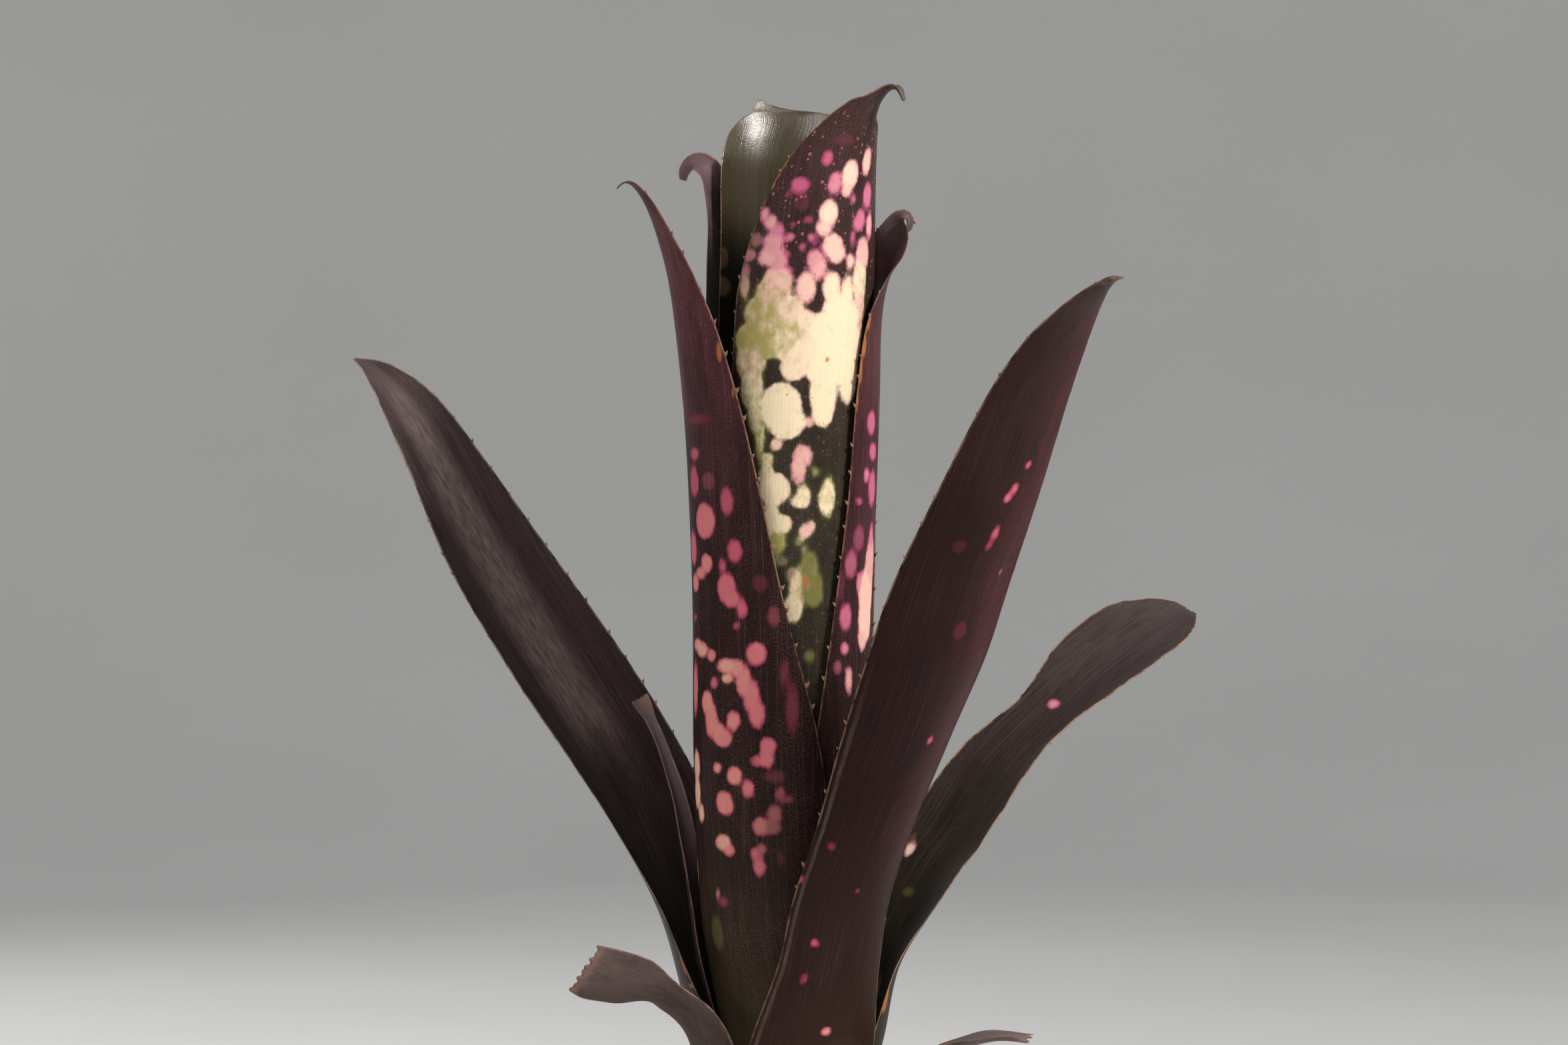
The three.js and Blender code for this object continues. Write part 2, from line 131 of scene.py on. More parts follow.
def rings_about_z(profile, segments):
    """A ring of points for each row of a profile: radius times cosine, radius times sine, height."""
    turn = np.linspace(0, 2 * np.pi, segments, endpoint=False)[None, :]
    radius, height = profile[:, :1], profile[:, 1:]
    return np.stack([radius * np.cos(turn), radius * np.sin(turn), height + 0 * turn], axis=-1)


def turned(profile, segments):
    """Points and faces of a profile turned about Z. It starts and ends on the axis, and runs up the
    outside."""
    rings = rings_about_z(profile[1:-1], segments)
    count = len(rings) * segments
    around = np.arange(segments)
    foot = fan(count, around, False)
    top = fan(count + 1, count - segments + around, True)
    poles = np.array([[0, 0, profile[0, 1]], [0, 0, profile[-1, 1]]])
    points = np.concatenate([rings.reshape(-1, 3), poles])
    return points, [quads_on_grid(len(rings), segments, around=True), foot, top]


def pot_radius(height):
    """The pot's outside wall is a straight cone from the foot to the rim."""
    return POT_FOOT_RADIUS + (POT_RIM_RADIUS - RIM_PROUD - POT_FOOT_RADIUS) * height / POT_HEIGHT


rim_foot = POT_HEIGHT - RIM_HEIGHT
pot_profile = eased(
    [
        [0, 0, 0],
        [POT_FOOT_RADIUS, 0, 2.2],
        [pot_radius(rim_foot), rim_foot, 1],
        [pot_radius(rim_foot) + RIM_PROUD - 0.5, rim_foot + 0.6, 1.2],
        [POT_RIM_RADIUS, POT_HEIGHT, 2.6],
        [pot_radius(POT_HEIGHT) - POT_WALL, POT_HEIGHT, 2],
        [pot_radius(POT_FLOOR) - POT_WALL, POT_FLOOR, 2.5],
        [0, POT_FLOOR, 0],
    ]
)
pot_shape = turned(refined(pot_profile, POT_POINT_SPACING), POT_SEGMENTS)
clay_pot = new_piece("fired_clay_pot", *pot_shape, "terracotta", ["clay_pot"])

# The holes are cut by one mesh with a plug for each, which is taken away again.
plug_foot = -POT_FLOOR
plug_top = 2 * POT_FLOOR
plug_profile = np.array([[0, plug_foot], [DRAIN_RADIUS, plug_foot], [DRAIN_RADIUS, plug_top], [0, plug_top]])
plug, plug_faces = turned(plug_profile, DRAIN_SEGMENTS)
places = np.pi / DRAIN_HOLES + 2 * np.pi / DRAIN_HOLES * np.arange(DRAIN_HOLES)
shifts = DRAIN_CIRCLE_RADIUS * np.stack([np.cos(places), np.sin(places), 0 * places], axis=1)
plug_points = (shifts[:, None, :] + plug[None]).reshape(-1, 3)
plug_faces = [np.concatenate([part + k * len(plug) for k in range(DRAIN_HOLES)]) for part in plug_faces]
plugs = new_piece("drain_plugs", plug_points, plug_faces)
cut = clay_pot.modifiers.new("drain holes", "BOOLEAN")
cut.object = plugs
cut.operation = "DIFFERENCE"
cut.solver = "EXACT"
bored = bpy.data.meshes.new_from_object(clay_pot.evaluated_get(bpy.context.evaluated_depsgraph_get()))
clay_pot.modifiers.clear()
clay_pot.data = bored
bored.name = "fired_clay_pot"
bored.set_sharp_from_angle(angle=np.radians(SHARP_ANGLE))
bpy.data.objects.remove(plugs)


class Value:
    """A number that varies over a surface. Its sums, differences and products add Math nodes to its
    finish."""

    def __init__(self, finish, socket):
        self.finish = finish
        self.socket = socket

    def math(self, operation, first, second):
        return self.finish.add("ShaderNodeMath", {"operation": operation}, {0: first, 1: second})

    def __add__(self, other):
        return self.math("ADD", self, other)

    def __sub__(self, other):
        return self.math("SUBTRACT", self, other)

    def __rsub__(self, other):
        return self.math("SUBTRACT", other, self)

    def __mul__(self, other):
        return self.math("MULTIPLY", self, other)

    __radd__ = __add__
    __rmul__ = __mul__


def set_stops(ramp, stops):
    """Gives a colour ramp its stops, each a position and a colour."""
    while len(ramp.elements) < len(stops):
        ramp.elements.new(0.5)
    for element, (position, colour) in zip(ramp.elements, stops):
        element.position = position
        element.color = (*colour, 1)


class Finish:
    """A material, built up node by node."""

    def __init__(self, name):
        self.material = bpy.data.materials.new(name)
        self.material.use_nodes = True
        self.tree = self.material.node_tree
        self.shader = self.tree.nodes["Principled BSDF"]
        self.place = self.add("ShaderNodeTexCoord", output="Object")

    def add(self, kind, settings=None, inputs=None, output=0):
        """Adds a node of a type: first its settings, with a ramp's stops as position and colour, then its
        sockets."""
        node = self.tree.nodes.new(kind)
        for key, value in (settings or {}).items():
            if key == "stops":
                set_stops(node.color_ramp, value)
            else:
                setattr(node, key, value)
        for key, value in (inputs or {}).items():
            self.feed(node.inputs[key], value)
        return Value(self, node.outputs[output])

    def feed(self, socket, value):
        if isinstance(value, Value):
            self.tree.links.new(value.socket, socket)
        elif socket.type == "RGBA" and len(value) == 3:
            socket.default_value = (*value, 1)
        else:
            socket.default_value = value

    def noise(self, vector, scale, detail=2.0, roughness=0.5, distortion=0.0):
        inputs = {"Vector": vector, "Scale": scale, "Detail": detail, "Roughness": roughness}
        return self.add("ShaderNodeTexNoise", {}, {**inputs, "Distortion": distortion})

    def stretched(self, vector, stretch):
        """The vector with each of its parts multiplied."""
        return self.add("ShaderNodeVectorMath", {"operation": "MULTIPLY"}, {0: vector, 1: stretch})

    def parts(self, vector):
        """The three numbers of a vector."""
        return [self.add("ShaderNodeSeparateXYZ", {}, {0: vector}, output=k) for k in range(3)]

    def step(self, value, low, high):
        """0 below low, 1 above high, and a smooth rise between them."""
        settings = {"interpolation_type": "SMOOTHSTEP"}
        return self.add("ShaderNodeMapRange", settings, {"Value": value, "From Min": low, "From Max": high})

    def mix(self, share, first, second, blend="MIX"):
        """Colours mixed by a share from 0 to 1."""
        settings = {"data_type": "RGBA", "blend_type": blend}
        return self.add("ShaderNodeMix", settings, {0: share, 6: first, 7: second}, output=2)

    def ramp(self, value, stops):
        return self.add("ShaderNodeValToRGB", {"stops": stops}, {0: value})

    def surface(self, colour, roughness, height, relief, strength=0.5, **fixed):
        """Colour and roughness of the surface, and its relief in millimetres from a height of 0 to 1."""
        inputs = {"Strength": strength, "Distance": relief * MM, "Height": height}
        bump = self.add("ShaderNodeBump", {}, inputs)
        self.feed(self.shader.inputs["Base Color"], colour)
        self.feed(self.shader.inputs["Roughness"], roughness)
        self.feed(self.shader.inputs["Normal"], bump)
        for key, value in fixed.items():
            self.shader.inputs[key.replace("_", " ")].default_value = value
        return self.material


def terracotta_finish():
    """Red clay with darker and paler clouds, sand in it, turning lines round it, salts by the rim and a damp
    foot."""
    clay = Finish("fired red clay")
    z = clay.parts(clay.place)[2]
    clouds = clay.noise(clay.place, 28, 4, 0.6)
    sand = clay.noise(clay.place, 1500, 2, 0.6)
    lines = clay.noise(clay.stretched(clay.place, (6, 6, 420)), 1, 2, 0.5)
    stops = [(0.3, (0.40, 0.145, 0.075)), (0.52, (0.53, 0.215, 0.12)), (0.72, (0.61, 0.29, 0.175))]
    colour = clay.ramp(clouds, stops)
    colour = clay.mix(clay.step(sand, 0.56, 0.68) * 0.35, colour, (0.66, 0.42, 0.30))
    colour = clay.mix(clay.step(sand, 0.44, 0.32) * 0.35, colour, (0.26, 0.095, 0.055))
    salt_clouds = clay.noise(clay.place, 42, 5, 0.65)
    top = POT_HEIGHT * MM
    rim_band = clay.step(z, top - 0.048, top - 0.014) * (1 - clay.step(z, top - 0.006, top + 0.0005) * 0.5)
    salt = clay.step(salt_clouds + rim_band * 0.14, 0.56, 0.72) * 0.65
    colour = clay.mix(salt * 0.75, colour, (0.70, 0.58, 0.47))
    damp = (1 - clay.step(z + clouds * 0.02, 0.012, 0.042)) * 0.55
    colour = clay.mix(damp, colour, (0.24, 0.085, 0.05))
    roughness = 0.88 + salt * 0.08 - damp * 0.15
    return clay.surface(colour, roughness, lines * 0.5 + sand * 0.35 + clouds * 0.4, 0.35)


clay_pot.data.materials.clear()
clay_pot.data.materials.append(terracotta_finish())

# The potting mix. Composted bark fills the pot to a finger below the rim, with shreds of bark and a little
# perlite lying loose on top of it. It was poured in and pressed down round the stem.
SOIL_LEVEL = 108
GAP = 0.35
CHIPS = 9
SHREDS = 620
SHRED_SIDES = 7
LITTER_INNER_RADIUS = 24
LITTER_OUTER_RADIUS = 53.5


def compost_finish(name):
    """Dark brown compost with paler fibres, coloured by Object coordinates."""
    compost = Finish(name)
    lumps = compost.noise(compost.place, 220, 4, 0.65)
    fibres = compost.noise(compost.stretched(compost.place, (1, 2.2, 0.8)), 900, 2, 0.6)
    stops = [(0.32, (0.012, 0.007, 0.004)), (0.55, (0.045, 0.025, 0.015)), (0.75, (0.11, 0.062, 0.036))]
    colour = compost.ramp(lumps, stops)
    colour = compost.mix(compost.step(fibres, 0.58, 0.70) * 0.5, colour, (0.22, 0.13, 0.075))
    return compost.surface(colour, 0.85 + fibres * 0.12, lumps + fibres * 0.3, 1.2, 0.8)


potting_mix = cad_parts["potting_mix"]
potting_mix.data.materials.clear()
potting_mix.data.materials.append(compost_finish("composted bark"))


def turned_about(axis, angle):
    """Turning matrices by angles about one axis of three, stacked along the first direction of the array."""
    turn = np.zeros((len(angle), 3, 3))
    first, second = [(1, 2), (2, 0), (0, 1)][axis]
    turn[:, axis, axis] = 1
    turn[:, first, first] = np.cos(angle)
    turn[:, second, second] = np.cos(angle)
    turn[:, first, second] = -np.sin(angle)
    turn[:, second, first] = np.sin(angle)
    return turn


def shreds(chance, count, low, high, chip_boxes):
    """Angular bits of bark: a prism of three uneven rings and two ends for each, stretched, turned and laid
    at a random place of a ring round the stem, clear of the large chips."""
    sides = np.linspace(0, 2 * np.pi, SHRED_SIDES, endpoint=False)
    ring = np.stack([np.cos(sides), np.sin(sides)], axis=1)
    levels = np.array([[-1, 0.62], [-0.2, 1], [0.75, 0.8]])
    rings = np.concatenate([np.c_[np.full(SHRED_SIDES, level), ring * width] for level, width in levels])
    shape = np.concatenate([rings, [[-1.15, 0, 0], [1.1, 0, 0]]])
    radius = np.sqrt(chance.uniform(low**2, high**2, count))
    bearing = chance.uniform(0, 2 * np.pi, count)
    length = chance.uniform(1.3, 4.6, count)
    width = length * chance.uniform(0.3, 0.6, count)
    sizes = np.stack([length, width, length * chance.uniform(0.16, 0.4, count)], 1)
    points = shape[None] * sizes[:, None, :] * chance.uniform(0.78, 1.22, (count, len(shape), 3))
    spin = turned_about(2, chance.uniform(0, 2 * np.pi, count))
    tilt = turned_about(1, chance.normal(0, 0.28, count))
    points = np.einsum("nij,nkj->nki", spin @ tilt, points)
    lift = chance.uniform(0.05, 1.5, count) + GAP - points[:, :, 2].min(1)
    places = np.stack([radius * np.cos(bearing), radius * np.sin(bearing), SOIL_LEVEL + lift], 1)
    points += places[:, None, :]
    clear = np.ones(count, bool)
    middle, room = places[:, :2], length[:, None]
    for lowest, highest in chip_boxes:
        inside = (middle > lowest[:2] - room) & (middle < highest[:2] + room)
        clear &= ~inside.all(1)
    shade = np.repeat(chance.uniform(0, 1, count)[clear, None], len(shape), 1)
    points = points[clear]
    quads = quads_on_grid(3, SHRED_SIDES, around=True)
    around = np.arange(SHRED_SIDES)
    start = fan(len(shape) - 2, around, False)
    finish = fan(len(shape) - 1, 2 * SHRED_SIDES + around, True)
    offsets = np.arange(len(points))[:, None, None] * len(shape)
    faces = [(offsets + part[None]).reshape(-1, part.shape[1]) for part in (quads, start, finish)]
    flat = points.reshape(-1, 3)
    return flat, faces, {"shade": np.repeat(shade.reshape(-1, 1), 3, 1)}


chip_boxes = [[np.array(corner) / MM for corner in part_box(f"bark_chip_{k + 1}")] for k in range(CHIPS)]
litter = shreds(np.random.default_rng(7), SHREDS, LITTER_INNER_RADIUS, LITTER_OUTER_RADIUS, chip_boxes)
bark_litter = new_piece("bark_litter", litter[0], litter[1], "potting_mix", attributes=litter[2])
bark_litter.data.polygons.foreach_set("use_smooth", np.zeros(len(bark_litter.data.polygons), bool))


def litter_finish():
    """Each bit has its own shade from black-brown to tan, a few are white perlite, and all have a fine
    grain."""
    bits = Finish("shredded bark and perlite")
    shade = bits.parts(bits.add("ShaderNodeAttribute", {"attribute_name": "shade"}, output="Vector"))[0]
    grain = bits.noise(bits.stretched(bits.place, (1, 1, 2.5)), 700, 3, 0.6)
    stops = [(0, (0.02, 0.011, 0.007)), (0.35, (0.07, 0.036, 0.02)), (0.7, (0.16, 0.082, 0.045)),
             (0.93, (0.28, 0.16, 0.09))]
    colour = bits.ramp(shade, stops)
    colour = bits.mix(bits.step(grain, 0.5, 0.68) * 0.55, colour, (0.03, 0.016, 0.01))
    colour = bits.mix(bits.step(shade, 0.955, 0.96), colour, (0.62, 0.60, 0.56))
    return bits.surface(colour, 0.8 + grain * 0.18, grain, 0.6, 0.7)


bark_litter.data.materials.append(litter_finish())

# The nine bark chips. Split lumps of pine bark, as long as a fingertip, lie flat on the mix: weathered red-
# brown on the broad faces, with the pale corky layers showing round their edges.
CHIP_HALF_LENGTH = 10.5
CHIP_CIRCLE_RADIUS = 41
CHIP_WIDTH = 0.62
CHIP_THICKNESS = 0.34


def chip_shape(index, rows=26, columns=40):
    """A lump of bark: a squarish ball, pressed flat, whose radius is uneven by sums of sines, with shallow
    steps where its layers have split. It takes the place, the turn and the tilt of its chip in the frame."""
    up = np.linspace(-np.pi / 2, np.pi / 2, rows + 2)[1:-1, None]
    round_about = np.linspace(0, 2 * np.pi, columns, endpoint=False)[None, :]
    flat, level = np.cos(up), np.sin(up) + 0 * round_about
    ball = np.stack([flat * np.cos(round_about), flat * np.sin(round_about), level], -1)
    ball = np.concatenate([ball.reshape(-1, 3), [[0, 0, -1], [0, 0, 1]]])
    square = ball * (1 / (np.abs(ball) ** 4).sum(-1, keepdims=True) ** 0.25) ** 0.75
    x, y, z = square.T
    phase = 2.1 * index
    uneven = 1 + 0.11 * np.sin(3.1 * x + phase) + 0.09 * np.cos(4.3 * y + 2 * phase)
    uneven += 0.05 * np.sin(7 * x - 6 * y + phase)
    uneven += 0.035 * np.sin(13 * x + 9 * z + phase) * np.cos(11 * y) + 0.02 * np.sin(23 * x + 19 * y)
    layers = 0.06 * np.tanh(6 * np.sin(7 * z + 1.5 * x + phase))
    size = 0.85 + 0.25 * np.sin(5 * index)
    scale = np.array([1, CHIP_WIDTH, CHIP_THICKNESS]) * CHIP_HALF_LENGTH * size
    points = square * np.stack([uneven + layers, uneven + layers, uneven], -1) * scale * 0.92
    turn = 2 * np.pi * index / CHIPS + 0.25 * np.sin(4 * index)
    tilt = turned_about(0, np.array([0.14 * np.sin(2 * index)]))[0]
    spin = turned_about(2, np.array([turn + 1.1 + 0.9 * np.sin(6 * index)]))[0]
    points = points @ (spin @ tilt).T
    radius = CHIP_CIRCLE_RADIUS + 3.5 * np.cos(3 * index)
    place = np.array([radius * np.cos(turn), radius * np.sin(turn), SOIL_LEVEL + GAP - points[:, 2].min()])
    around = np.arange(columns)
    pole = rows * columns
    foot = fan(pole, around, False)
    top = fan(pole + 1, pole - columns + around, True)
    return points + place, [quads_on_grid(rows, columns, around=True), foot, top]


def bark_finish():
    """Red-brown bark with dark cracks, patches of grey weathering and pale corky layers."""
    bark = Finish("weathered pine bark")
    layers = bark.noise(bark.stretched(bark.place, (1, 1, 9)), 120, 4, 0.6, 0.6)
    lumps = bark.noise(bark.place, 170, 5, 0.65)
    pores = bark.noise(bark.place, 1300, 2, 0.5)
    stops = [(0.3, (0.045, 0.02, 0.012)), (0.48, (0.15, 0.068, 0.036)), (0.62, (0.27, 0.135, 0.075)),
             (0.8, (0.42, 0.25, 0.15))]
    colour = bark.ramp(layers * 0.6 + lumps * 0.4, stops)
    colour = bark.mix(bark.step(lumps, 0.55, 0.7) * 0.5, colour, (0.23, 0.19, 0.165))
    colour = bark.mix(bark.step(lumps, 0.42, 0.3) * 0.8, colour, (0.018, 0.009, 0.006))
    colour = bark.mix(bark.step(pores, 0.6, 0.7) * 0.4, colour, (0.35, 0.2, 0.12))
    return bark.surface(colour, 0.82 + pores * 0.15, layers * 0.5 + lumps + pores * 0.15, 1.4, 0.8)


bark = bark_finish()
for k in range(CHIPS):
    chip = new_piece(f"bark_lump_{k + 1}", *chip_shape(k), "bark", [f"bark_chip_{k + 1}"])
    chip.data.materials.append(bark)

# The rooted stem. A short woody stem, no longer than a thumb, that every leaf grows out of, with wiry roots
# in the mix. Old leaf scars ring it, and nearly all of it is covered by the leaves and the mix.


def stem_finish():
    """Fibrous brown wood with rings of old leaf scars."""
    wood = Finish("fibrous stem")
    rings = wood.noise(wood.stretched(wood.place, (5, 5, 700)), 1, 2, 0.5)
    fibres = wood.noise(wood.stretched(wood.place, (1, 1, 0.15)), 1400, 2, 0.6)
    stops = [(0.3, (0.08, 0.042, 0.025)), (0.55, (0.19, 0.11, 0.065)), (0.75, (0.31, 0.2, 0.125))]
    colour = wood.ramp(rings * 0.6 + fibres * 0.4, stops)
    return wood.surface(colour, 0.75 + fibres * 0.2, rings * 0.6 + fibres * 0.4, 0.6, 0.6)


rooted_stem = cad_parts["rooted_stem"]
rooted_stem.data.materials.clear()
rooted_stem.data.materials.append(stem_finish())

# The leaves of the tube. Six thin leathery straps, each a single grown piece, clasp one another from the stem
# up. Rows of fine scales run along them, hooked spines stand on their edges, and pale blotches let light show
# where the dark pigment is missing. Each ends in a short point that dries early.
LEAF_COUNT = 14
LAYER_PITCH = 1.4
PROFILE_LAYER = 5
LOWEST_BASE = 2
BASE_RISE = 1.5
BASE_EXTRA_ANGLE = 6
LEAN = 3
LEAN_FROM = 150
LEAN_TO = 350
TANGENT_STEP = 0.05
MIDDLE_THICKNESS = 0.85
EDGE_THICKNESS = 0.28
ROSETTE_HEIGHTS = [0, 25, 50, 75, 100, 125, 150, 200, 260, 400]
ROSETTE_RADII = [11.5, 15, 20, 25, 28.8, 30.6, 31, 31, 32.2, 32.2]
CAMERA_DISTANCE = 1600
CAMERA_HEIGHT = 339.5
IMAGE_WIDTH = 2352
IMAGE_HEIGHT = 1568
PIXELS_PER_MM = 4.32
SMALLEST_SCALE = 1.1
UNSEEN_FROM_Y = 6
SPOT_SHARPNESS = 2.4
LEAST_DEPTH = -8
GREATEST_DEPTH = 6


def smooth(value, low, high):
    """0 below low, 1 above high, and a smooth rise between them."""
    share = np.clip((value - low) / (high - low), 0, 1)
    return share * share * (3 - 2 * share)


def leaf_rows(layer, azimuth, sheath, level_rows, blade):
    """The rows that a leaf's middle line and width follow: x, y, z, facing, half width, half-angle, twist and
    squareness. sheath rows are height, half-angle and distance outside the rosette; blade rows are height,
    distance from the axis, azimuth, half width, half-angle and twist. The first level_rows of the blade keep
    level sections."""
    base = LOWEST_BASE + BASE_RISE * (LEAF_COUNT - 1 - layer)
    rows = []
    for height, angle, *flare in [[base, sheath[0][1] + BASE_EXTRA_ANGLE], *sheath]:
        radius = np.interp(height, ROSETTE_HEIGHTS, ROSETTE_RADII)
        radius = radius + (layer - PROFILE_LAYER) * LAYER_PITCH + sum(flare)
        rows.append([height, radius, azimuth, radius * np.radians(angle), angle, 0, 0])
    for k, (height, radius, bearing, half, angle, *twist) in enumerate(blade):
        squareness = smooth(k, level_rows - 1, level_rows + 1)
        rows.append([height, radius, bearing, half, angle, sum(twist), squareness])
    height, radius, bearing, half, angle, twist, squareness = np.array(rows, float).T
    facing = np.radians(bearing)
    x = LEAN * smooth(height, LEAN_FROM, LEAN_TO) + radius * np.cos(facing)
    y = radius * np.sin(facing)
    z = SOIL_LEVEL + height
    return np.stack([x, y, z, facing, half, np.radians(angle), np.radians(twist), squareness], 1)


def along(rows, t):
    """Catmull-Rom interpolation of the rows at each t from 0 to the last row's number."""
    last = len(rows) - 1
    row = np.minimum(last - 1, np.floor(t).astype(int))
    share = (t - row)[..., None]
    before, start, end, after = [rows[np.clip(row + k, 0, last)] for k in (-1, 0, 1, 2)]
    bend = 2 * before - 5 * start + 4 * end - after + share * (3 * (start - end) + after - before)
    return start + 0.5 * share * (end - before + share * bend)


def leaf_sections(rows, t):
    """At each t: the middle, the side and outward directions, the half-angle and the half width. A section is
    an arc through the middle that bulges outward."""
    values = along(rows, t)
    ahead = along(rows, np.minimum(len(rows) - 1, t + TANGENT_STEP))
    behind = along(rows, np.maximum(0, t - TANGENT_STEP))
    growth = unit((ahead - behind)[..., :3])
    square = np.clip(values[..., 7:], 0, 1)
    tangent = unit(np.array([0, 0, 1.0]) * (1 - square) + growth * square)
    facing, twist = values[..., 3:4], values[..., 6:7]
    side = np.concatenate([-np.sin(facing), np.cos(facing), 0 * facing], -1)
    side = unit(side - tangent * (side * tangent).sum(-1, keepdims=True))
    side = side * np.cos(twist) + np.cross(tangent, side) * np.sin(twist)
    return values[..., :3], side, np.cross(side, tangent), values[..., 5], values[..., 4]


def leaf_points(rows, t, v, lift):
    """Points of a leaf at t along it and v from -1 to 1 across it, raised by lift from its middle surface:
    the middle, plus outward times (reach cos(turn) - radius), plus side times reach sin(turn)."""
    middle, side, outward, angle, half = leaf_sections(rows, t)
    radius = half / angle
    turn = (angle * v)[..., None]
    reach = (radius + lift)[..., None]
    return middle + outward * (reach * np.cos(turn) - radius[..., None]) + side * reach * np.sin(turn)


SPINE_RINGS = 5
SPINE_SIDES = 6
SPINELESS_TIP = 6


def spines(rows, spots, side, size, chance):
    """Hooked spines on one edge of a leaf: flattened cones whose middle line runs out from the edge and bends
    up along it. Returns points, faces, and each point's place along the leaf and share of the spine."""
    v = np.full(len(spots), float(side))
    edge = leaf_points(rows, spots, v, 0 * v)
    inward = leaf_points(rows, spots, v * 0.97, 0 * v)
    ahead = leaf_points(rows, spots + 0.01, v, 0 * v)
    out = unit(edge - inward)
    growth = unit(ahead - edge)
    across = unit(np.cross(out, growth))
    size = (size * chance.uniform(0.7, 1.25, len(spots)))[:, None, None, None]
    share = np.array([-0.25, 0.1, 0.45, 0.75, 1.0])[None, :, None, None]
    ring = np.linspace(0, 2 * np.pi, SPINE_SIDES, endpoint=False)[None, None, :, None]
    bent = 0.15 + 0.9 * share * np.abs(share)
    middle = edge[:, None, None] + size * (share * out[:, None, None] + bent * growth[:, None, None])
    width = size * 0.62 * (1 - share) ** 0.8 + 0.02
    depth = 0.16 * (1 - share) + 0.02
    broad = width * np.cos(ring) * growth[:, None, None]
    points = middle + broad + depth * np.sin(ring) * across[:, None, None]
    if side > 0:
        points = points[:, :, ::-1]
    count = SPINE_RINGS * SPINE_SIDES
    quads = quads_on_grid(SPINE_RINGS, SPINE_SIDES, around=True)
    offsets = np.arange(len(spots))[:, None, None] * count
    caps = np.array([[5, 4, 3, 2], [5, 2, 1, 0]])
    tops = count - SPINE_SIDES + np.array([[0, 1, 2, 3], [0, 3, 4, 5]])
    faces = [(offsets + part[None]).reshape(-1, 4) for part in (quads, caps, tops)]
    shares = np.broadcast_to(np.clip(share, 0.01, 1), (*points.shape[:3], 1)).reshape(-1)
    return points.reshape(-1, 3), faces, np.repeat(spots, count), shares


def on_photograph(points):
    """Pixel columns and rows of points in millimetres, seen from the camera."""
    scale = PIXELS_PER_MM * CAMERA_DISTANCE / (CAMERA_DISTANCE + points[..., 1])
    column = IMAGE_WIDTH / 2 + scale * points[..., 0]
    return column, IMAGE_HEIGHT / 2 - scale * (points[..., 2] - CAMERA_HEIGHT)


def seen_spots(spots, points, normals, across, distance):
    """Turns spots in pixels of the photograph's frame, given as column, row, half width, half length,
    paleness, strength if not 1 and greenness if not 0, into the same spots in millimetres on the leaf. Each
    goes to the nearest point that faces the camera."""
    column, row = on_photograph(points)
    to_camera = np.array([0, -CAMERA_DISTANCE, CAMERA_HEIGHT]) - points
    hidden = np.where((normals * to_camera).sum(-1) > 0, 0, 1e9)
    scales = []
    for axis, measure in ((1, across), (0, distance)):
        moved = np.hypot(np.gradient(column, axis=axis), np.gradient(row, axis=axis))
        scales.append(moved / np.abs(np.gradient(measure, axis=axis)))
    wide, tall = np.maximum(scales, SMALLEST_SCALE)
    found = []
    for px, py, half_width, half_length, *look in spots:
        look = look + [1, 0][len(look) - 1:]
        place = np.unravel_index(np.argmin((column - px) ** 2 + (row - py) ** 2 + hidden), column.shape)
        half_across = half_width / wide[place]
        half_along = half_length / tall[place]
        found.append([across[place], distance[place], half_across, half_along, *look])
    return found


def chance_spots(chance, count, points, across, distance, stretch, sizes, pale, strength):
    """Spots in millimetres, of the same kind, at random places of the leaf that the camera doesn't see."""
    found = []
    for _ in range(count):
        row = chance.integers(int(stretch[0] * len(points)), int(stretch[1] * len(points)))
        column = chance.integers(1, points.shape[1] - 1)
        size = chance.uniform(*sizes) * chance.uniform(0.5, 1.1)
        look = [chance.uniform(*pale), chance.uniform(*strength), chance.uniform(0, 0.35)]
        if points[row, column, 1] > UNSEEN_FROM_Y:
            place = [across[row, column], distance[row, column]]
            found.append([*place, size, size * chance.uniform(1.1, 2.4), *look])
    return found


def spot_fields(spots, across, distance):
    """For each point of a leaf: its depth inside the spots in millimetres, below 0 outside them, and their
    paleness, strength and greenness. Depth in one spot is (1 - distance from its centre in half-widths) times
    the smaller half-width, and neighbouring spots are merged by the logarithm of the sum of exponentials."""
    total = np.full(across.shape, np.exp(LEAST_DEPTH * SPOT_SHARPNESS))
    looks = np.zeros((*across.shape, 3))
    for aside, ahead, half_across, half_along, pale, strength, green in spots:
        reach = np.hypot((across - aside) / half_across, (distance - ahead) / half_along)
        depth = np.clip((1 - reach) * min(half_across, half_along), LEAST_DEPTH, GREATEST_DEPTH)
        weight = np.exp(depth * SPOT_SHARPNESS)
        total += weight
        looks += weight[..., None] * np.array([pale, strength, green])
    return np.log(total) / SPOT_SHARPNESS, looks / total[..., None]


def shell_faces(count, columns):
    """Faces of a closed shell of two grids, the outer first, each with count rows of columns + 1 points."""
    width = columns + 1
    inner = count * width
    grid = quads_on_grid(count, width)
    down = np.arange(count - 1) * width
    left = np.stack([down, down + width, inner + down + width, inner + down], 1)
    right = np.stack([down, inner + down, inner + down + width, down + width], 1) + columns
    foot = np.arange(columns)
    tip = foot + (count - 1) * width
    base_end = np.stack([foot, inner + foot, inner + foot + 1, foot + 1], 1)
    tip_end = np.stack([tip, tip + 1, inner + tip + 1, inner + tip], 1)
    return [grid, inner + grid[:, ::-1], left, right, base_end, tip_end]


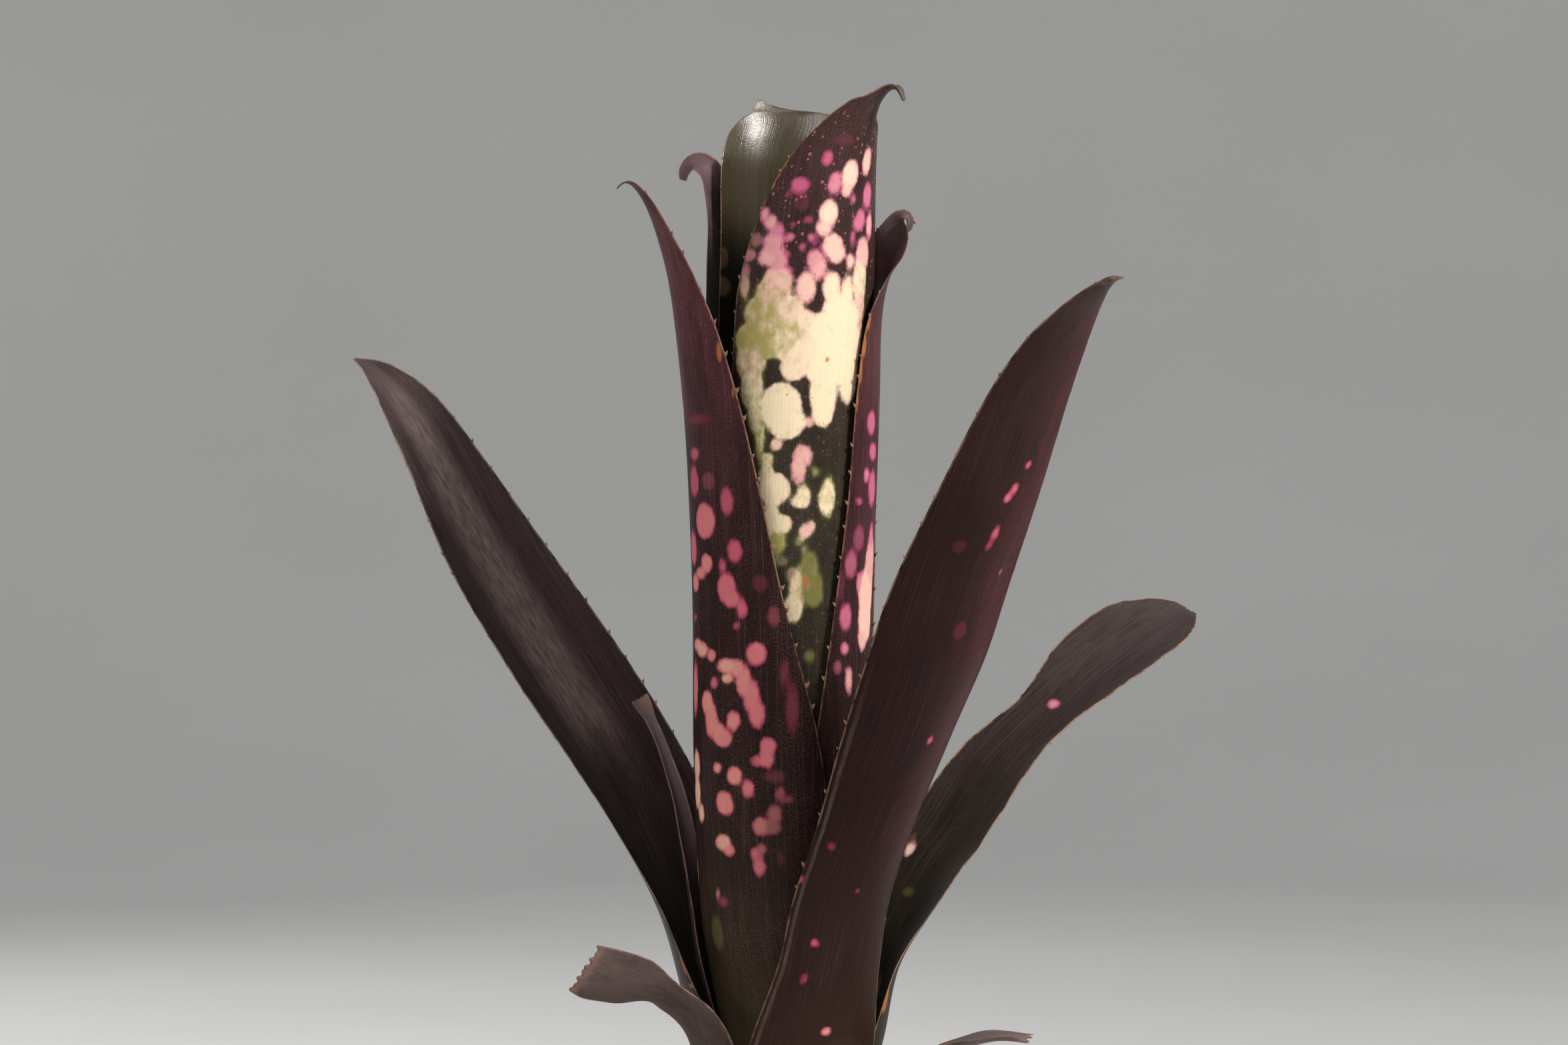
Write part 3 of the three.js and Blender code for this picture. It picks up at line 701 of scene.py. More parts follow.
def make_leaf(name, slot, rows, spots=(), inner_spots=(), rust=(), seed=0, spacing=1.25, columns=44,
              spine=1.3, spine_from=0.45, spine_gap=10, ripple=0.0, ragged=0.0, wild=None):
    """A leaf as a closed shell with rounded edges, thin there and thicker in its middle, with its spines. Its
    attributes are place (across and along in mm, face), zones (v, share of the length, spine), marks (depth
    in spots, paleness, strength) and tints (greenness, distance to the edge, depth in rust)."""
    chance = np.random.default_rng(seed)
    fine = np.linspace(0, len(rows) - 1, 60 * len(rows))
    steps = np.linalg.norm(np.diff(along(rows, fine)[:, :3], axis=0), axis=1)
    travel = np.concatenate([[0], np.cumsum(steps)])
    length = travel[-1]
    count = int(length / spacing)
    v = np.linspace(-1, 1, columns + 1)[None, :]
    distance = np.linspace(0, length, count)[:, None] + 0 * v
    cut = 0.5 + 0.5 * np.sin(9 * v + seed) * np.cos(5.3 * v + 2 * seed) + 0.25 * np.sin(23 * v + seed)
    distance = distance - ragged * cut * smooth(distance, length - 6 * ragged - 1, length)
    t = np.interp(distance, travel, fine)
    v = v + 0 * distance
    _, side, outward, angle, half = leaf_sections(rows, t)
    across = half * v
    turn = (angle * v)[..., None]
    normal = outward * np.cos(turn) + side * np.sin(turn)
    waves = np.sin(distance / 7.5 + seed + 2.2 * np.sign(v))
    waves += 0.6 * np.sin(distance / 3.1 + 2 * seed - np.sign(v))
    wave = ripple * np.abs(v) ** 3 * waves * smooth(distance, 0.3 * length, 0.6 * length)
    thickness = EDGE_THICKNESS + (MIDDLE_THICKNESS - EDGE_THICKNESS) * np.sqrt(np.clip(1 - v**2, 0, 1))
    thickness = thickness * (1 - 0.5 * smooth(distance, 0.8 * length, length))
    outer, inner = [leaf_points(rows, t, v, wave + sign * thickness / 2) for sign in (1, -1)]
    outer_spots = seen_spots(spots, outer, normal, across, distance)
    if wild:
        outer_spots += chance_spots(chance, points=outer, across=across, distance=distance, **wild)
    inner_spots = seen_spots(inner_spots, inner, -normal, across, distance)
    rust_spots = [[*spot, 0] for spot in rust]
    edge = np.minimum(half * (1 - np.abs(v)), length - distance)
    points, marks, tints, places, zones = [], [], [], [], []
    for sign, surface, found in ((1, outer, outer_spots), (-1, inner, inner_spots)):
        depth, looks = spot_fields(found, across, distance)
        rusted = seen_spots(rust_spots, surface, sign * normal, across, distance)
        rusty = spot_fields(rusted, across, distance)[0]
        points.append(surface.reshape(-1, 3))
        places.append(np.stack([across, distance, sign + 0 * v], -1).reshape(-1, 3))
        zones.append(np.stack([v, distance / length, 0 * v], -1).reshape(-1, 3))
        marks.append(np.stack([depth, looks[..., 0], looks[..., 1]], -1).reshape(-1, 3))
        tints.append(np.stack([looks[..., 2], edge, rusty], -1).reshape(-1, 3))
    faces = shell_faces(count, columns)
    total = 2 * across.size
    if spine:
        for edge_side in (-1, 1):
            steps = np.arange(spine_from * length, length - SPINELESS_TIP, spine_gap)
            steps = steps + chance.uniform(-0.3, 0.3, len(steps)) * spine_gap
            spots_t = np.interp(steps, travel, fine)
            size = spine * (1 - 0.45 * smooth(steps, 0.8 * length, length))
            new_points, new_faces, spine_t, share = spines(rows, spots_t, edge_side, size, chance)
            travelled = np.interp(spine_t, fine, travel)
            none = np.zeros(len(share))
            points.append(new_points)
            faces += [total + part for part in new_faces]
            places.append(np.stack([none + edge_side, travelled, none + 1], -1))
            zones.append(np.stack([none + edge_side, travelled / length, share], -1))
            marks.append(np.stack([none + LEAST_DEPTH, none, none], -1))
            tints.append(np.stack([none, none, none + LEAST_DEPTH], -1))
            total += len(new_points)
    attributes = {"place": places, "zones": zones, "marks": marks, "tints": tints}
    attributes = {key: np.concatenate(value) for key, value in attributes.items()}
    return new_piece(name, np.concatenate(points), faces, slot, [name.replace("grown_", "")], attributes)


SHADE_COLOUR = (0.012, 0.008, 0.007)
DARK_VEIN_COLOUR = (0.01, 0.007, 0.006)
FRECKLE_COLOUR = (0.40, 0.13, 0.16)
MOSS_COLOUR = (0.33, 0.31, 0.05)
HALO_COLOUR = (0.13, 0.15, 0.03)
SPOT_VEIN_COLOUR = (0.5, 0.3, 0.2)
NETTING_COLOUR = (0.06, 0.045, 0.025)
WAX_COLOUR = (0.25, 0.19, 0.175)
RUST_COLOUR = (0.42, 0.15, 0.045)
DEAD_COLOUR = (0.09, 0.055, 0.04)
SPINE_COLOUR = (0.33, 0.19, 0.11)
FACE_SHIFT = 3
WINDOW_COLOURS = [(0, (0.40, 0.06, 0.15)), (0.3, (0.60, 0.17, 0.27)), (0.5, (0.70, 0.30, 0.31)),
                  (0.7, (0.85, 0.49, 0.42)), (0.85, (0.9, 0.64, 0.49)), (1, (0.92, 0.75, 0.505))]
SALMON_COLOURS = [(0, (0.33, 0.035, 0.09)), (0.25, (0.50, 0.085, 0.15)), (0.5, (0.63, 0.18, 0.19)),
                  (0.65, (0.68, 0.27, 0.22)), (0.8, (0.74, 0.42, 0.31)), (1, (0.84, 0.6, 0.41))]


def leaf_finish(name, ground, inside, tip, rim=(0.30, 0.17, 0.11), tip_from=0.94, roughness=0.42, flecks=0.3,
                fleck=(0.22, 0.16, 0.155), bloom=None, flush_and_painted_light=None, veins=0.16, netting=0.0,
                windows=WINDOW_COLOURS, gloss=0.07, freckles=0.0):
    """Leathery leaf: a ground colour by height for each face, fine lengthwise veins and rows of scales,
    clouds, pale spots with deeper edges, a dry edge and tip, and spines. bloom is a band of grey wax: v, half
    width in v, start, end and amount. flush_and_painted_light is a second colour towards one edge, partly the
    leaf's own tint and partly painted light where that side is lit: v where it starts and is full, colour and
    amount."""
    skin = Finish(name)
    vectors = {key: skin.add("ShaderNodeAttribute", {"attribute_name": key}, output="Vector") for key in
               ("place", "zones", "marks", "tints")}
    face = skin.parts(vectors["place"])[2]
    v, rise, spine = skin.parts(vectors["zones"])
    depth, paleness, strength = skin.parts(vectors["marks"])
    green, edge, rust = skin.parts(vectors["tints"])

    def pattern(across, along, detail, roughness):
        """Noise with a scale per millimetre across and along the leaf, different on each of its faces."""
        return skin.noise(skin.stretched(vectors["place"], (across, along, FACE_SHIFT)), 1, detail, roughness)

    outside = skin.step(face, -0.2, 0.2)
    vein = pattern(1.5, 0.02, 2, 0.6)
    scales = pattern(3.4, 2.2, 1, 0.5)
    dust = pattern(3.5, 2.4, 2, 0.7)
    clouds = pattern(0.09, 0.035, 4, 0.6)
    wander = pattern(0.55, 0.4, 3, 0.55)
    patches = pattern(0.34, 0.24, 2, 0.5)
    height = rise + (clouds - 0.5) * 0.12
    colour = skin.mix(outside, skin.ramp(height, inside), skin.ramp(height, ground))
    # A second colour towards one edge: partly the leaf's own tint, partly painted light where that side is
    # lit.
    if flush_and_painted_light:
        start, full, tint, amount = flush_and_painted_light
        share = skin.step(v + (clouds - 0.5) * 0.5, start, full) * skin.step(wander + vein * 0.5, 0.45, 0.9)
        share = share * skin.step(height, 0.2, 0.5)
        colour = skin.mix(share * amount, colour, tint)
    colour = skin.mix((1 - skin.step(clouds, 0.3, 0.52)) * 0.4, colour, SHADE_COLOUR)
    colour = skin.mix(skin.step(vein, 0.5, 0.72) * veins, colour, fleck)
    colour = skin.mix((1 - skin.step(vein, 0.28, 0.48)) * veins, colour, DARK_VEIN_COLOUR)
    rows = skin.step(scales, 0.52, 0.66) * (0.35 + 0.65 * skin.step(clouds, 0.35, 0.65))
    colour = skin.mix(rows * flecks, colour, fleck)
    if freckles:
        grid = {"Vector": skin.stretched(vectors["place"], (0.62, 0.55, FACE_SHIFT)), "Scale": 1}
        reach = skin.add("ShaderNodeTexVoronoi", {}, grid, "Distance")
        chance = skin.parts(skin.add("ShaderNodeTexVoronoi", {}, grid, "Color"))[0]
        dots = skin.step(chance * 0.62 - 0.3 + clouds * 0.1 - reach, -0.06, 0.05)
        crowd = 0.25 + 0.75 * skin.step(height, 0.76, 0.84) * (1 - skin.step(height, 0.9, 0.96))
        colour = skin.mix(dots * crowd * freckles, colour, FRECKLE_COLOUR)
    # The pale spots, deeper in colour at their shores, mossy where green, with dark netting near their edges.
    shore = depth + (wander - 0.5) * 1.3 + (dust - 0.5) * 0.15
    spot = skin.step(shore, -0.65, 0.55) * skin.step(strength, 0.02, 0.8)
    fringe = (1 - skin.step(shore, 0, 1.2)) * (1 - skin.step(green, 0, 0.3))
    tone = paleness - fringe * 0.24 + (wander - 0.5) * 0.12
    pale = skin.ramp(tone, windows)
    moss = skin.step(green + (patches - 0.5) * 1.3, 0.1, 0.9)
    pale = skin.mix(moss * 0.85, pale, MOSS_COLOUR)
    pale = skin.mix(skin.step(vein, 0.55, 0.75) * 0.12, pale, SPOT_VEIN_COLOUR)
    if netting:
        net = pattern(1.1, 0.55, 2, 0.7)
        near_edge = 1 - skin.step(shore, 0.6, 2.4)
        pale = skin.mix(skin.step(net, 0.56, 0.66) * netting * near_edge, pale, NETTING_COLOUR)
    halo = skin.step(shore, -1.4, 0.1) * skin.step(green, 0, 0.4) * 0.6
    colour = skin.mix(halo, colour, HALO_COLOUR)
    colour = skin.mix(spot, colour, pale)
    # The band of grey wax.
    waxed = 0
    if bloom:
        middle, reach, start, end, amount = bloom
        flake = pattern(0.85, 0.11, 4, 0.6)
        aside = skin.add("ShaderNodeMath", {"operation": "ABSOLUTE"}, {0: v - middle})
        band = 1 - skin.step(aside, 0.2 * reach, reach)
        lengthwise = skin.step(height, start, start + 0.12) * (1 - skin.step(height, end - 0.12, end))
        flaky = 0.25 + 0.75 * skin.step(flake + (patches - 0.5) * 0.2, 0.25, 0.8)
        waxed = flaky * band * lengthwise * amount
        colour = skin.mix(waxed, colour, WAX_COLOUR)
    # The dry margin, the rust, the dead tip and the spines.
    brown = pattern(0.2, 0.14, 3, 0.6)
    margin = (1 - skin.step(edge, 0.15, 0.75)) * skin.step(brown, 0.35, 0.6)
    colour = skin.mix(margin * 0.8, colour, rim)
    colour = skin.mix(skin.step(rust + (wander - 0.5), -0.3, 0.5) * 0.85, colour, RUST_COLOUR)
    dry = skin.step(rise + (wander - 0.5) * 0.05, tip_from, tip_from + 0.03)
    colour = skin.mix(dry, colour, skin.mix(brown, tip, DEAD_COLOUR))
    colour = skin.mix(skin.step(spine, 0.02, 0.5), colour, SPINE_COLOUR)
    rough = roughness + (dust - 0.5) * 0.12 + dry * 0.3 + waxed * 0.25 + spot * 0.06
    relief = vein * 0.55 + scales * 0.25 + dust * 0.12 + wander * 0.12 + dry * brown * 0.8
    return skin.surface(colour, rough, relief, 0.32, 0.6, Specular_IOR_Level=gloss)


# The heart leaf. The youngest strap, soft and pale olive, is still rolled up tight inside the tube. It grows
# out of the middle of the stem.
heart_leaf = make_leaf(
    "grown_heart_leaf", "olive_leaf",
    leaf_rows(0, 40, [[50, 120, -2], [90, 120, -10], [120, 110, -14]], 3,
              [[140, 5, 40, 7, 80], [155, 3.5, 40, 4, 60], [166, 3, 40, 0.6, 40]]),
    spine=0.6, seed=1, columns=32,
)
young = [(0, (0.30, 0.30, 0.16)), (0.5, (0.22, 0.22, 0.10)), (1, (0.20, 0.14, 0.10))]
heart_leaf.data.materials.append(leaf_finish("young olive leaf", young, young, (0.35, 0.25, 0.16)))

# The inner back leaf. A stiff strap whose waxy olive inside shines at the mouth of the tube; the colour of
# that inside is painted darker down in the tube, as painted shade. It grows out of the back of the stem, and
# ends flat with a small peak.
inner_back_leaf = make_leaf(
    "grown_inner_back_leaf", "olive_leaf",
    leaf_rows(1, 100, [[50, 115], [75, 108], [100, 100], [150, 90], [200, 78], [250, 66], [300, 62],
                       [330, 60]], 9,
              [[347, 26.8, 100, 28, 60], [358, 26.9, 99, 27, 57], [367, 28.2, 95, 24.3, 50],
               [373.5, 30.2, 91, 19.3, 38], [376.4, 31.2, 94, 12.5, 25], [377.8, 31.6, 104, 6.5, 15],
               [379.6, 32, 109, 2.6, 11], [381.4, 32.6, 111, 0.6, 8]]),
    inner_spots=[(1086, 385, 6, 14, 0.35, 0.3, 0.4), (1085, 428, 9, 13, 0.45, 0.35, 0.4)],
    wild=dict(count=90, stretch=(0.3, 0.93), sizes=(1.2, 3.6), pale=(0.2, 0.95), strength=(0.6, 1)),
    seed=2, spine_from=0.7, spine=1.0, spine_gap=8, spacing=1.0, columns=56,
)
olive_outside = [(0, (0.15, 0.14, 0.075)), (0.3, (0.05, 0.04, 0.024)), (0.6, (0.05, 0.028, 0.026)),
                 (1, (0.09, 0.048, 0.05))]
# Painted shade: the inside is darkest from halfway up to 0.82 of the length, down in the tube, and lighter
# towards its mouth. The pale olive at the foot is the leaf's own colour.
olive_inside_with_painted_shade = [(0, (0.13, 0.12, 0.065)), (0.5, (0.015, 0.011, 0.006)), (0.82, (0.022, 0.017, 0.008)),
                (0.93, (0.05, 0.038, 0.019)), (1, (0.12, 0.088, 0.055))]
inner_back_leaf.data.materials.append(
    leaf_finish("glossy olive leaf", olive_outside, olive_inside_with_painted_shade, (0.34, 0.27, 0.2), roughness=0.26,
                flecks=0.1, tip_from=0.985, veins=0.1, gloss=0.55, fleck=(0.16, 0.13, 0.08)))

# The inner front leaf. The strap with the largest blotches, windows of thin pale tissue: pink towards the
# point, cream in the middle and mossy green lower down. It clasps the inner back leaf and ends in a dry hook.
inner_front_leaf = make_leaf(
    "grown_inner_front_leaf", "spotted_leaf",
    leaf_rows(2, 308, [[50, 118], [75, 112], [100, 106], [150, 98], [200, 92], [250, 86], [299, 82]], 5,
              [[315, 28.3, 308, 38, 77], [334, 28.4, 310, 32.7, 66], [347, 28.6, 313, 28.2, 56.5],
               [358, 29, 317, 23.6, 47], [366, 29.8, 320, 18, 37], [371, 31.2, 324, 12.2, 27],
               [374.3, 33, 327, 7.8, 24], [377.2, 35.2, 329, 5, 40], [379.7, 38, 330, 3.4, 62],
               [379.9, 41.2, 330, 2.7, 70], [376, 43.6, 330, 1.3, 60]]),
    spots=[
        (1241, 236, 8, 13, 0.15), (1201, 277, 14, 13, 0.12), (1251, 276, 10, 17, 0.4),
        (1275, 262, 12, 22, 0.8), (1270, 285, 8, 12, 0.7), (1301, 243, 6, 21, 0.7), (1301, 293, 6, 20, 0.3),
        (1244, 320, 14, 20, 0.85), (1237, 340, 12, 13, 0.75), (1291, 330, 7, 16, 0.3, 0.9),
        (1286, 338, 7, 10, 0.3, 0.8), (1279, 300, 4, 7, 0.35, 0.5), (1278, 357, 4, 10, 0.3, 0.5),
        (1250, 368, 15, 18, 0.75), (1256, 378, 13, 16, 0.75), (1275, 391, 6, 11, 0.75),
        (1221, 388, 12, 16, 0.5), (1229, 402, 12, 18, 0.6), (1211, 432, 15, 24, 0.75),
        (1213, 331, 7, 6, 0.1, 0.45), (1189, 336, 4, 4, 0.1, 0.4), (1186, 356, 7, 7, 0.35, 0.6),
        (1216, 355, 6, 6, 0.3, 0.6), (1202, 369, 5, 6, 0.25, 0.5), (1223, 363, 5, 4, 0.1, 0.4),
        (1181, 381, 4, 5, 0.1, 0.4), (1184, 408, 4, 7, 0.4, 0.5), (1268, 208, 14, 8, 0, 0.2),
        (1203, 303, 12, 12, 0, 0.2), (1183, 294, 4, 4, 0.1, 0.4), (1303, 340, 4, 20, 0.6),
        (1295, 380, 9, 26, 0.65, 1, 0.1), (1291, 420, 9, 34, 0.9, 1, 0.3), (1290, 455, 6, 26, 0.7, 0.8, 0.3),
        (1287, 490, 6, 20, 0.6, 0.5, 0.4), (1148, 322, 7, 12, 0.5, 0.8), (1155, 333, 9, 12, 0.55, 0.8, 0.1),
        (1165, 350, 11, 16, 0.35), (1160, 368, 15, 22, 0.5), (1152, 388, 14, 14, 0.6),
        (1168, 392, 13, 24, 0.5), (1165, 420, 22, 20, 0.7, 1, 0.2), (1160, 440, 26, 20, 0.75, 1, 0.45),
        (1150, 470, 34, 26, 0.8, 1, 0.7), (1178, 465, 28, 22, 0.85, 1, 0.35),
        (1140, 510, 38, 30, 0.8, 1, 0.8), (1180, 505, 36, 34, 0.9, 1, 0.5), (1125, 385, 8, 9, 0.4, 0.5, 0.2),
        (1133, 360, 8, 10, 0.3, 0.4, 0.2), (1117, 430, 6, 18, 0.7, 0.5, 0.3),
        (1119, 405, 5, 9, 0.4, 0.5, 0.1), (1249, 430, 13, 24, 0.95), (1270, 445, 9, 30, 0.95),
        (1258, 470, 22, 30, 1), (1245, 500, 34, 34, 1, 1, 0.05), (1240, 545, 34, 40, 1),
        (1235, 590, 20, 40, 1.05, 1, 0.1), (1236, 620, 15, 22, 1.05, 1, 0.1),
        (1205, 480, 20, 14, 0.9, 1, 0.1), (1205, 530, 30, 34, 0.95, 1, 0.15),
        (1190, 550, 20, 20, 0.95, 1, 0.1), (1279, 500, 14, 50, 0.95), (1272, 560, 14, 45, 1.05, 1, 0.1),
        (1125, 540, 22, 30, 0.85, 1, 0.5), (1128, 580, 16, 34, 1.05, 1, 0.4),
        (1133, 620, 10, 30, 1.05, 1, 0.4), (1138, 655, 6, 30, 1.05, 1, 0.6),
        (1173, 610, 31, 36, 1.05, 1, 0.1), (1178, 632, 28, 26, 1.05, 1, 0.1), (1213, 632, 6, 7, 0.7, 1, 0.2),
        (1164, 668, 8, 9, 0.85, 1, 0.12), (1152, 688, 8, 9, 1.05, 1, 0.4), (1198, 700, 11, 24, 0.65, 1, 0.12),
        (1203, 683, 11, 14, 0.65, 1, 0.12), (1214, 684, 6, 11, 0.65, 1, 0.12),
        (1163, 735, 23, 24, 1.05, 1, 0.1), (1148, 712, 10, 16, 1.05, 1, 0.4),
        (1205, 743, 9, 13, 1.05, 1, 0.3), (1200, 752, 13, 9, 1.05, 1, 0.1), (1243, 745, 9, 26, 1.05, 1, 0.35),
        (1238, 750, 10, 20, 1.05, 1, 0.3), (1153, 778, 13, 26, 1.05, 1, 0.25),
        (1173, 786, 15, 14, 1.05, 1, 0.1), (1209, 799, 8, 10, 0.75, 1, 0.2), (1218, 790, 6, 8, 0.75, 1, 0.2),
        (1222, 707, 4, 5, 1.05, 0.25, 0.5), (1197, 811, 4, 5, 1.05, 0.25, 0.3),
        (1208, 824, 3, 5, 0.85, 0.3, 0.2), (1165, 812, 11, 16, 1.05, 0.9, 0.9),
        (1158, 835, 10, 16, 1.05, 0.4, 0.8), (1214, 850, 12, 20, 0.8, 0.3, 0.75),
        (1215, 880, 16, 24, 0.8, 0.3, 0.75), (1222, 895, 12, 14, 0.8, 0.3, 0.75),
        (1195, 880, 10, 24, 0.95, 0.6, 0.3), (1188, 912, 14, 20, 0.95, 0.7, 0.25),
        (1176, 842, 6, 6, 0.75, 0.25, 0.2), (1186, 862, 7, 8, 0.75, 0.3, 0.2),
        (1216, 986, 6, 7, 0.75, 0.2, 0.5),
    ],
    rust=[(1240, 540, 3, 5), (1181, 592, 2, 2), (1208, 873, 5, 10), (1175, 240, 3, 8), (1161, 262, 3, 5),
          (1153, 277, 3, 6)],
    wild=dict(count=60, stretch=(0.3, 0.85), sizes=(1.4, 4.5), pale=(0.4, 1), strength=(0.8, 1)),
    seed=3, spine_from=0.6, spine=1.1, spine_gap=9, spacing=0.85, columns=84,
)
spotted_ground = [(0, (0.15, 0.14, 0.07)), (0.35, (0.028, 0.026, 0.015)), (0.62, (0.028, 0.025, 0.016)),
                  (0.8, (0.03, 0.014, 0.013)), (1, (0.046, 0.019, 0.019))]
# Its inside takes the olive inside colours of the inner back leaf, with their painted shade down the tube.
inner_front_leaf.data.materials.append(
    leaf_finish("blotched leaf", spotted_ground, olive_inside_with_painted_shade, (0.17, 0.13, 0.125), roughness=0.4, flecks=0.5,
                tip_from=0.972, netting=0.35, freckles=0.75, gloss=0.12, fleck=(0.17, 0.11, 0.1)))

# The left back leaf of the tube. A narrow mauve strap that stands behind the tube, clasping it low down, and
# bends over in a hook.
left_back_tube_leaf = make_leaf(
    "grown_left_back_tube_leaf", "mauve_leaf",
    leaf_rows(3, 145, [[50, 112], [75, 104], [100, 96], [150, 78], [200, 52]], 2,
              [[250, 29.4, 148, 15.5, 31], [290, 29.7, 151, 12.5, 25], [320, 30.2, 153, 10, 22],
               [336, 30.4, 155, 8.4, 24], [345, 30.6, 157, 7.4, 28, -8], [352.4, 31.4, 158, 6.3, 34, -22],
               [356, 33.6, 160, 5.4, 38, -40], [356.6, 36.6, 161, 4.6, 40, -50],
               [354.2, 39.2, 161, 3.6, 40, -55], [351.2, 40, 161, 2.2, 40, -55]]),
    wild=dict(count=90, stretch=(0.25, 0.8), sizes=(1.1, 3.2), pale=(0.2, 0.8), strength=(0.5, 1)),
    seed=4, spine_from=0.5, spine=0.9, spacing=1.0, columns=48,
)
mauve_ground = [(0, (0.14, 0.12, 0.065)), (0.2, (0.03, 0.021, 0.01)), (0.34, (0.015, 0.008, 0.005)),
                (0.62, (0.02, 0.0075, 0.007)), (0.74, (0.05, 0.015, 0.018)), (0.86, (0.085, 0.025, 0.031)),
                (0.95, (0.105, 0.043, 0.047)), (1, (0.15, 0.09, 0.09))]
mauve_inside = [(0, (0.12, 0.11, 0.06)), (0.5, (0.03, 0.018, 0.013)), (0.85, (0.06, 0.03, 0.03)),
                (1, (0.16, 0.11, 0.11))]
hooked_inside = [(0, (0.12, 0.11, 0.06)), (0.5, (0.03, 0.018, 0.014)), (0.85, (0.05, 0.025, 0.028)),
                 (1, (0.14, 0.082, 0.092))]
hooked_ground = [(0, (0.14, 0.12, 0.065)), (0.3, (0.035, 0.024, 0.016)), (0.6, (0.045, 0.021, 0.024)),
                 (0.85, (0.08, 0.04, 0.044)), (1, (0.17, 0.105, 0.115))]
left_back_tube_leaf.data.materials.append(
    leaf_finish("mauve hooked leaf", hooked_ground, hooked_inside, (0.26, 0.17, 0.12), flecks=0.25,
                tip_from=0.99))

# The right leaf of the tube. A purple strap with magenta spots along its outer side and an orange-brown
# margin, which clasps the tube. It rolls its point up in a scroll.
right_tube_leaf = make_leaf(
    "grown_right_tube_leaf", "mauve_leaf",
    leaf_rows(4, 8, [[50, 112], [75, 100], [100, 92], [150, 79], [200, 64], [240, 55], [275, 50]], 1,
              [[300, 31, 8, 21.8, 41], [315, 32.2, 8, 15.5, 32, 10], [324, 33.8, 8, 11.5, 27, 30],
               [331, 35.8, 8, 7.6, 26, 45], [335.6, 37.2, 8, 4.8, 34, 50], [338, 38.6, 7, 3.2, 50, 45],
               [337.6, 40.2, 7, 2.6, 60, 40], [335.4, 40.6, 7, 2.3, 60, 40], [333.7, 39.4, 7, 1.9, 50, 40],
               [334.4, 38, 7, 1.2, 30, 40]]),
    spots=[
        (1308, 635, 6, 19, 0.2), (1310, 676, 5, 14, 0.2), (1300, 712, 4, 11, 0.35, 0.8),
        (1308, 733, 5, 28, 0.2), (1289, 751, 5, 6, 0.25, 0.5), (1288, 808, 8, 20, 0.15, 0.4),
        (1278, 845, 9, 22, 0.25, 0.5), (1307, 810, 3, 26, 0.35), (1305, 850, 6, 45, 0.6),
        (1300, 890, 10, 40, 0.75), (1298, 930, 9, 34, 0.76), (1293, 955, 6, 20, 0.66),
        (1290, 875, 5, 16, 0.4, 0.9), (1268, 925, 9, 21, 0.25, 0.7), (1267, 972, 6, 9, 0.4, 0.8),
        (1256, 1003, 6, 11, 0.35, 0.4), (1272, 1020, 5, 20, 0.65, 0.9), (1258, 880, 9, 22, 0, 0.25),
    ],
    rust=[(1300, 480, 4, 16), (1294, 515, 5, 22), (1287, 555, 4, 22), (1281, 600, 3, 16)],
    wild=dict(count=90, stretch=(0.25, 0.85), sizes=(1.2, 3.6), pale=(0.15, 0.95), strength=(0.6, 1)),
    seed=5, spine_from=0.5, spacing=0.9, columns=64,
)
right_ground = [(0, (0.14, 0.12, 0.065)), (0.25, (0.024, 0.014, 0.008)), (0.5, (0.024, 0.0075, 0.008)),
                (0.68, (0.05, 0.011, 0.016)), (0.84, (0.075, 0.021, 0.026)), (1, (0.06, 0.034, 0.036))]
right_tube_leaf.data.materials.append(
    leaf_finish("purple scrolled leaf", right_ground, mauve_inside, (0.12, 0.085, 0.08), roughness=0.4,
                flecks=0.35, tip_from=0.98))

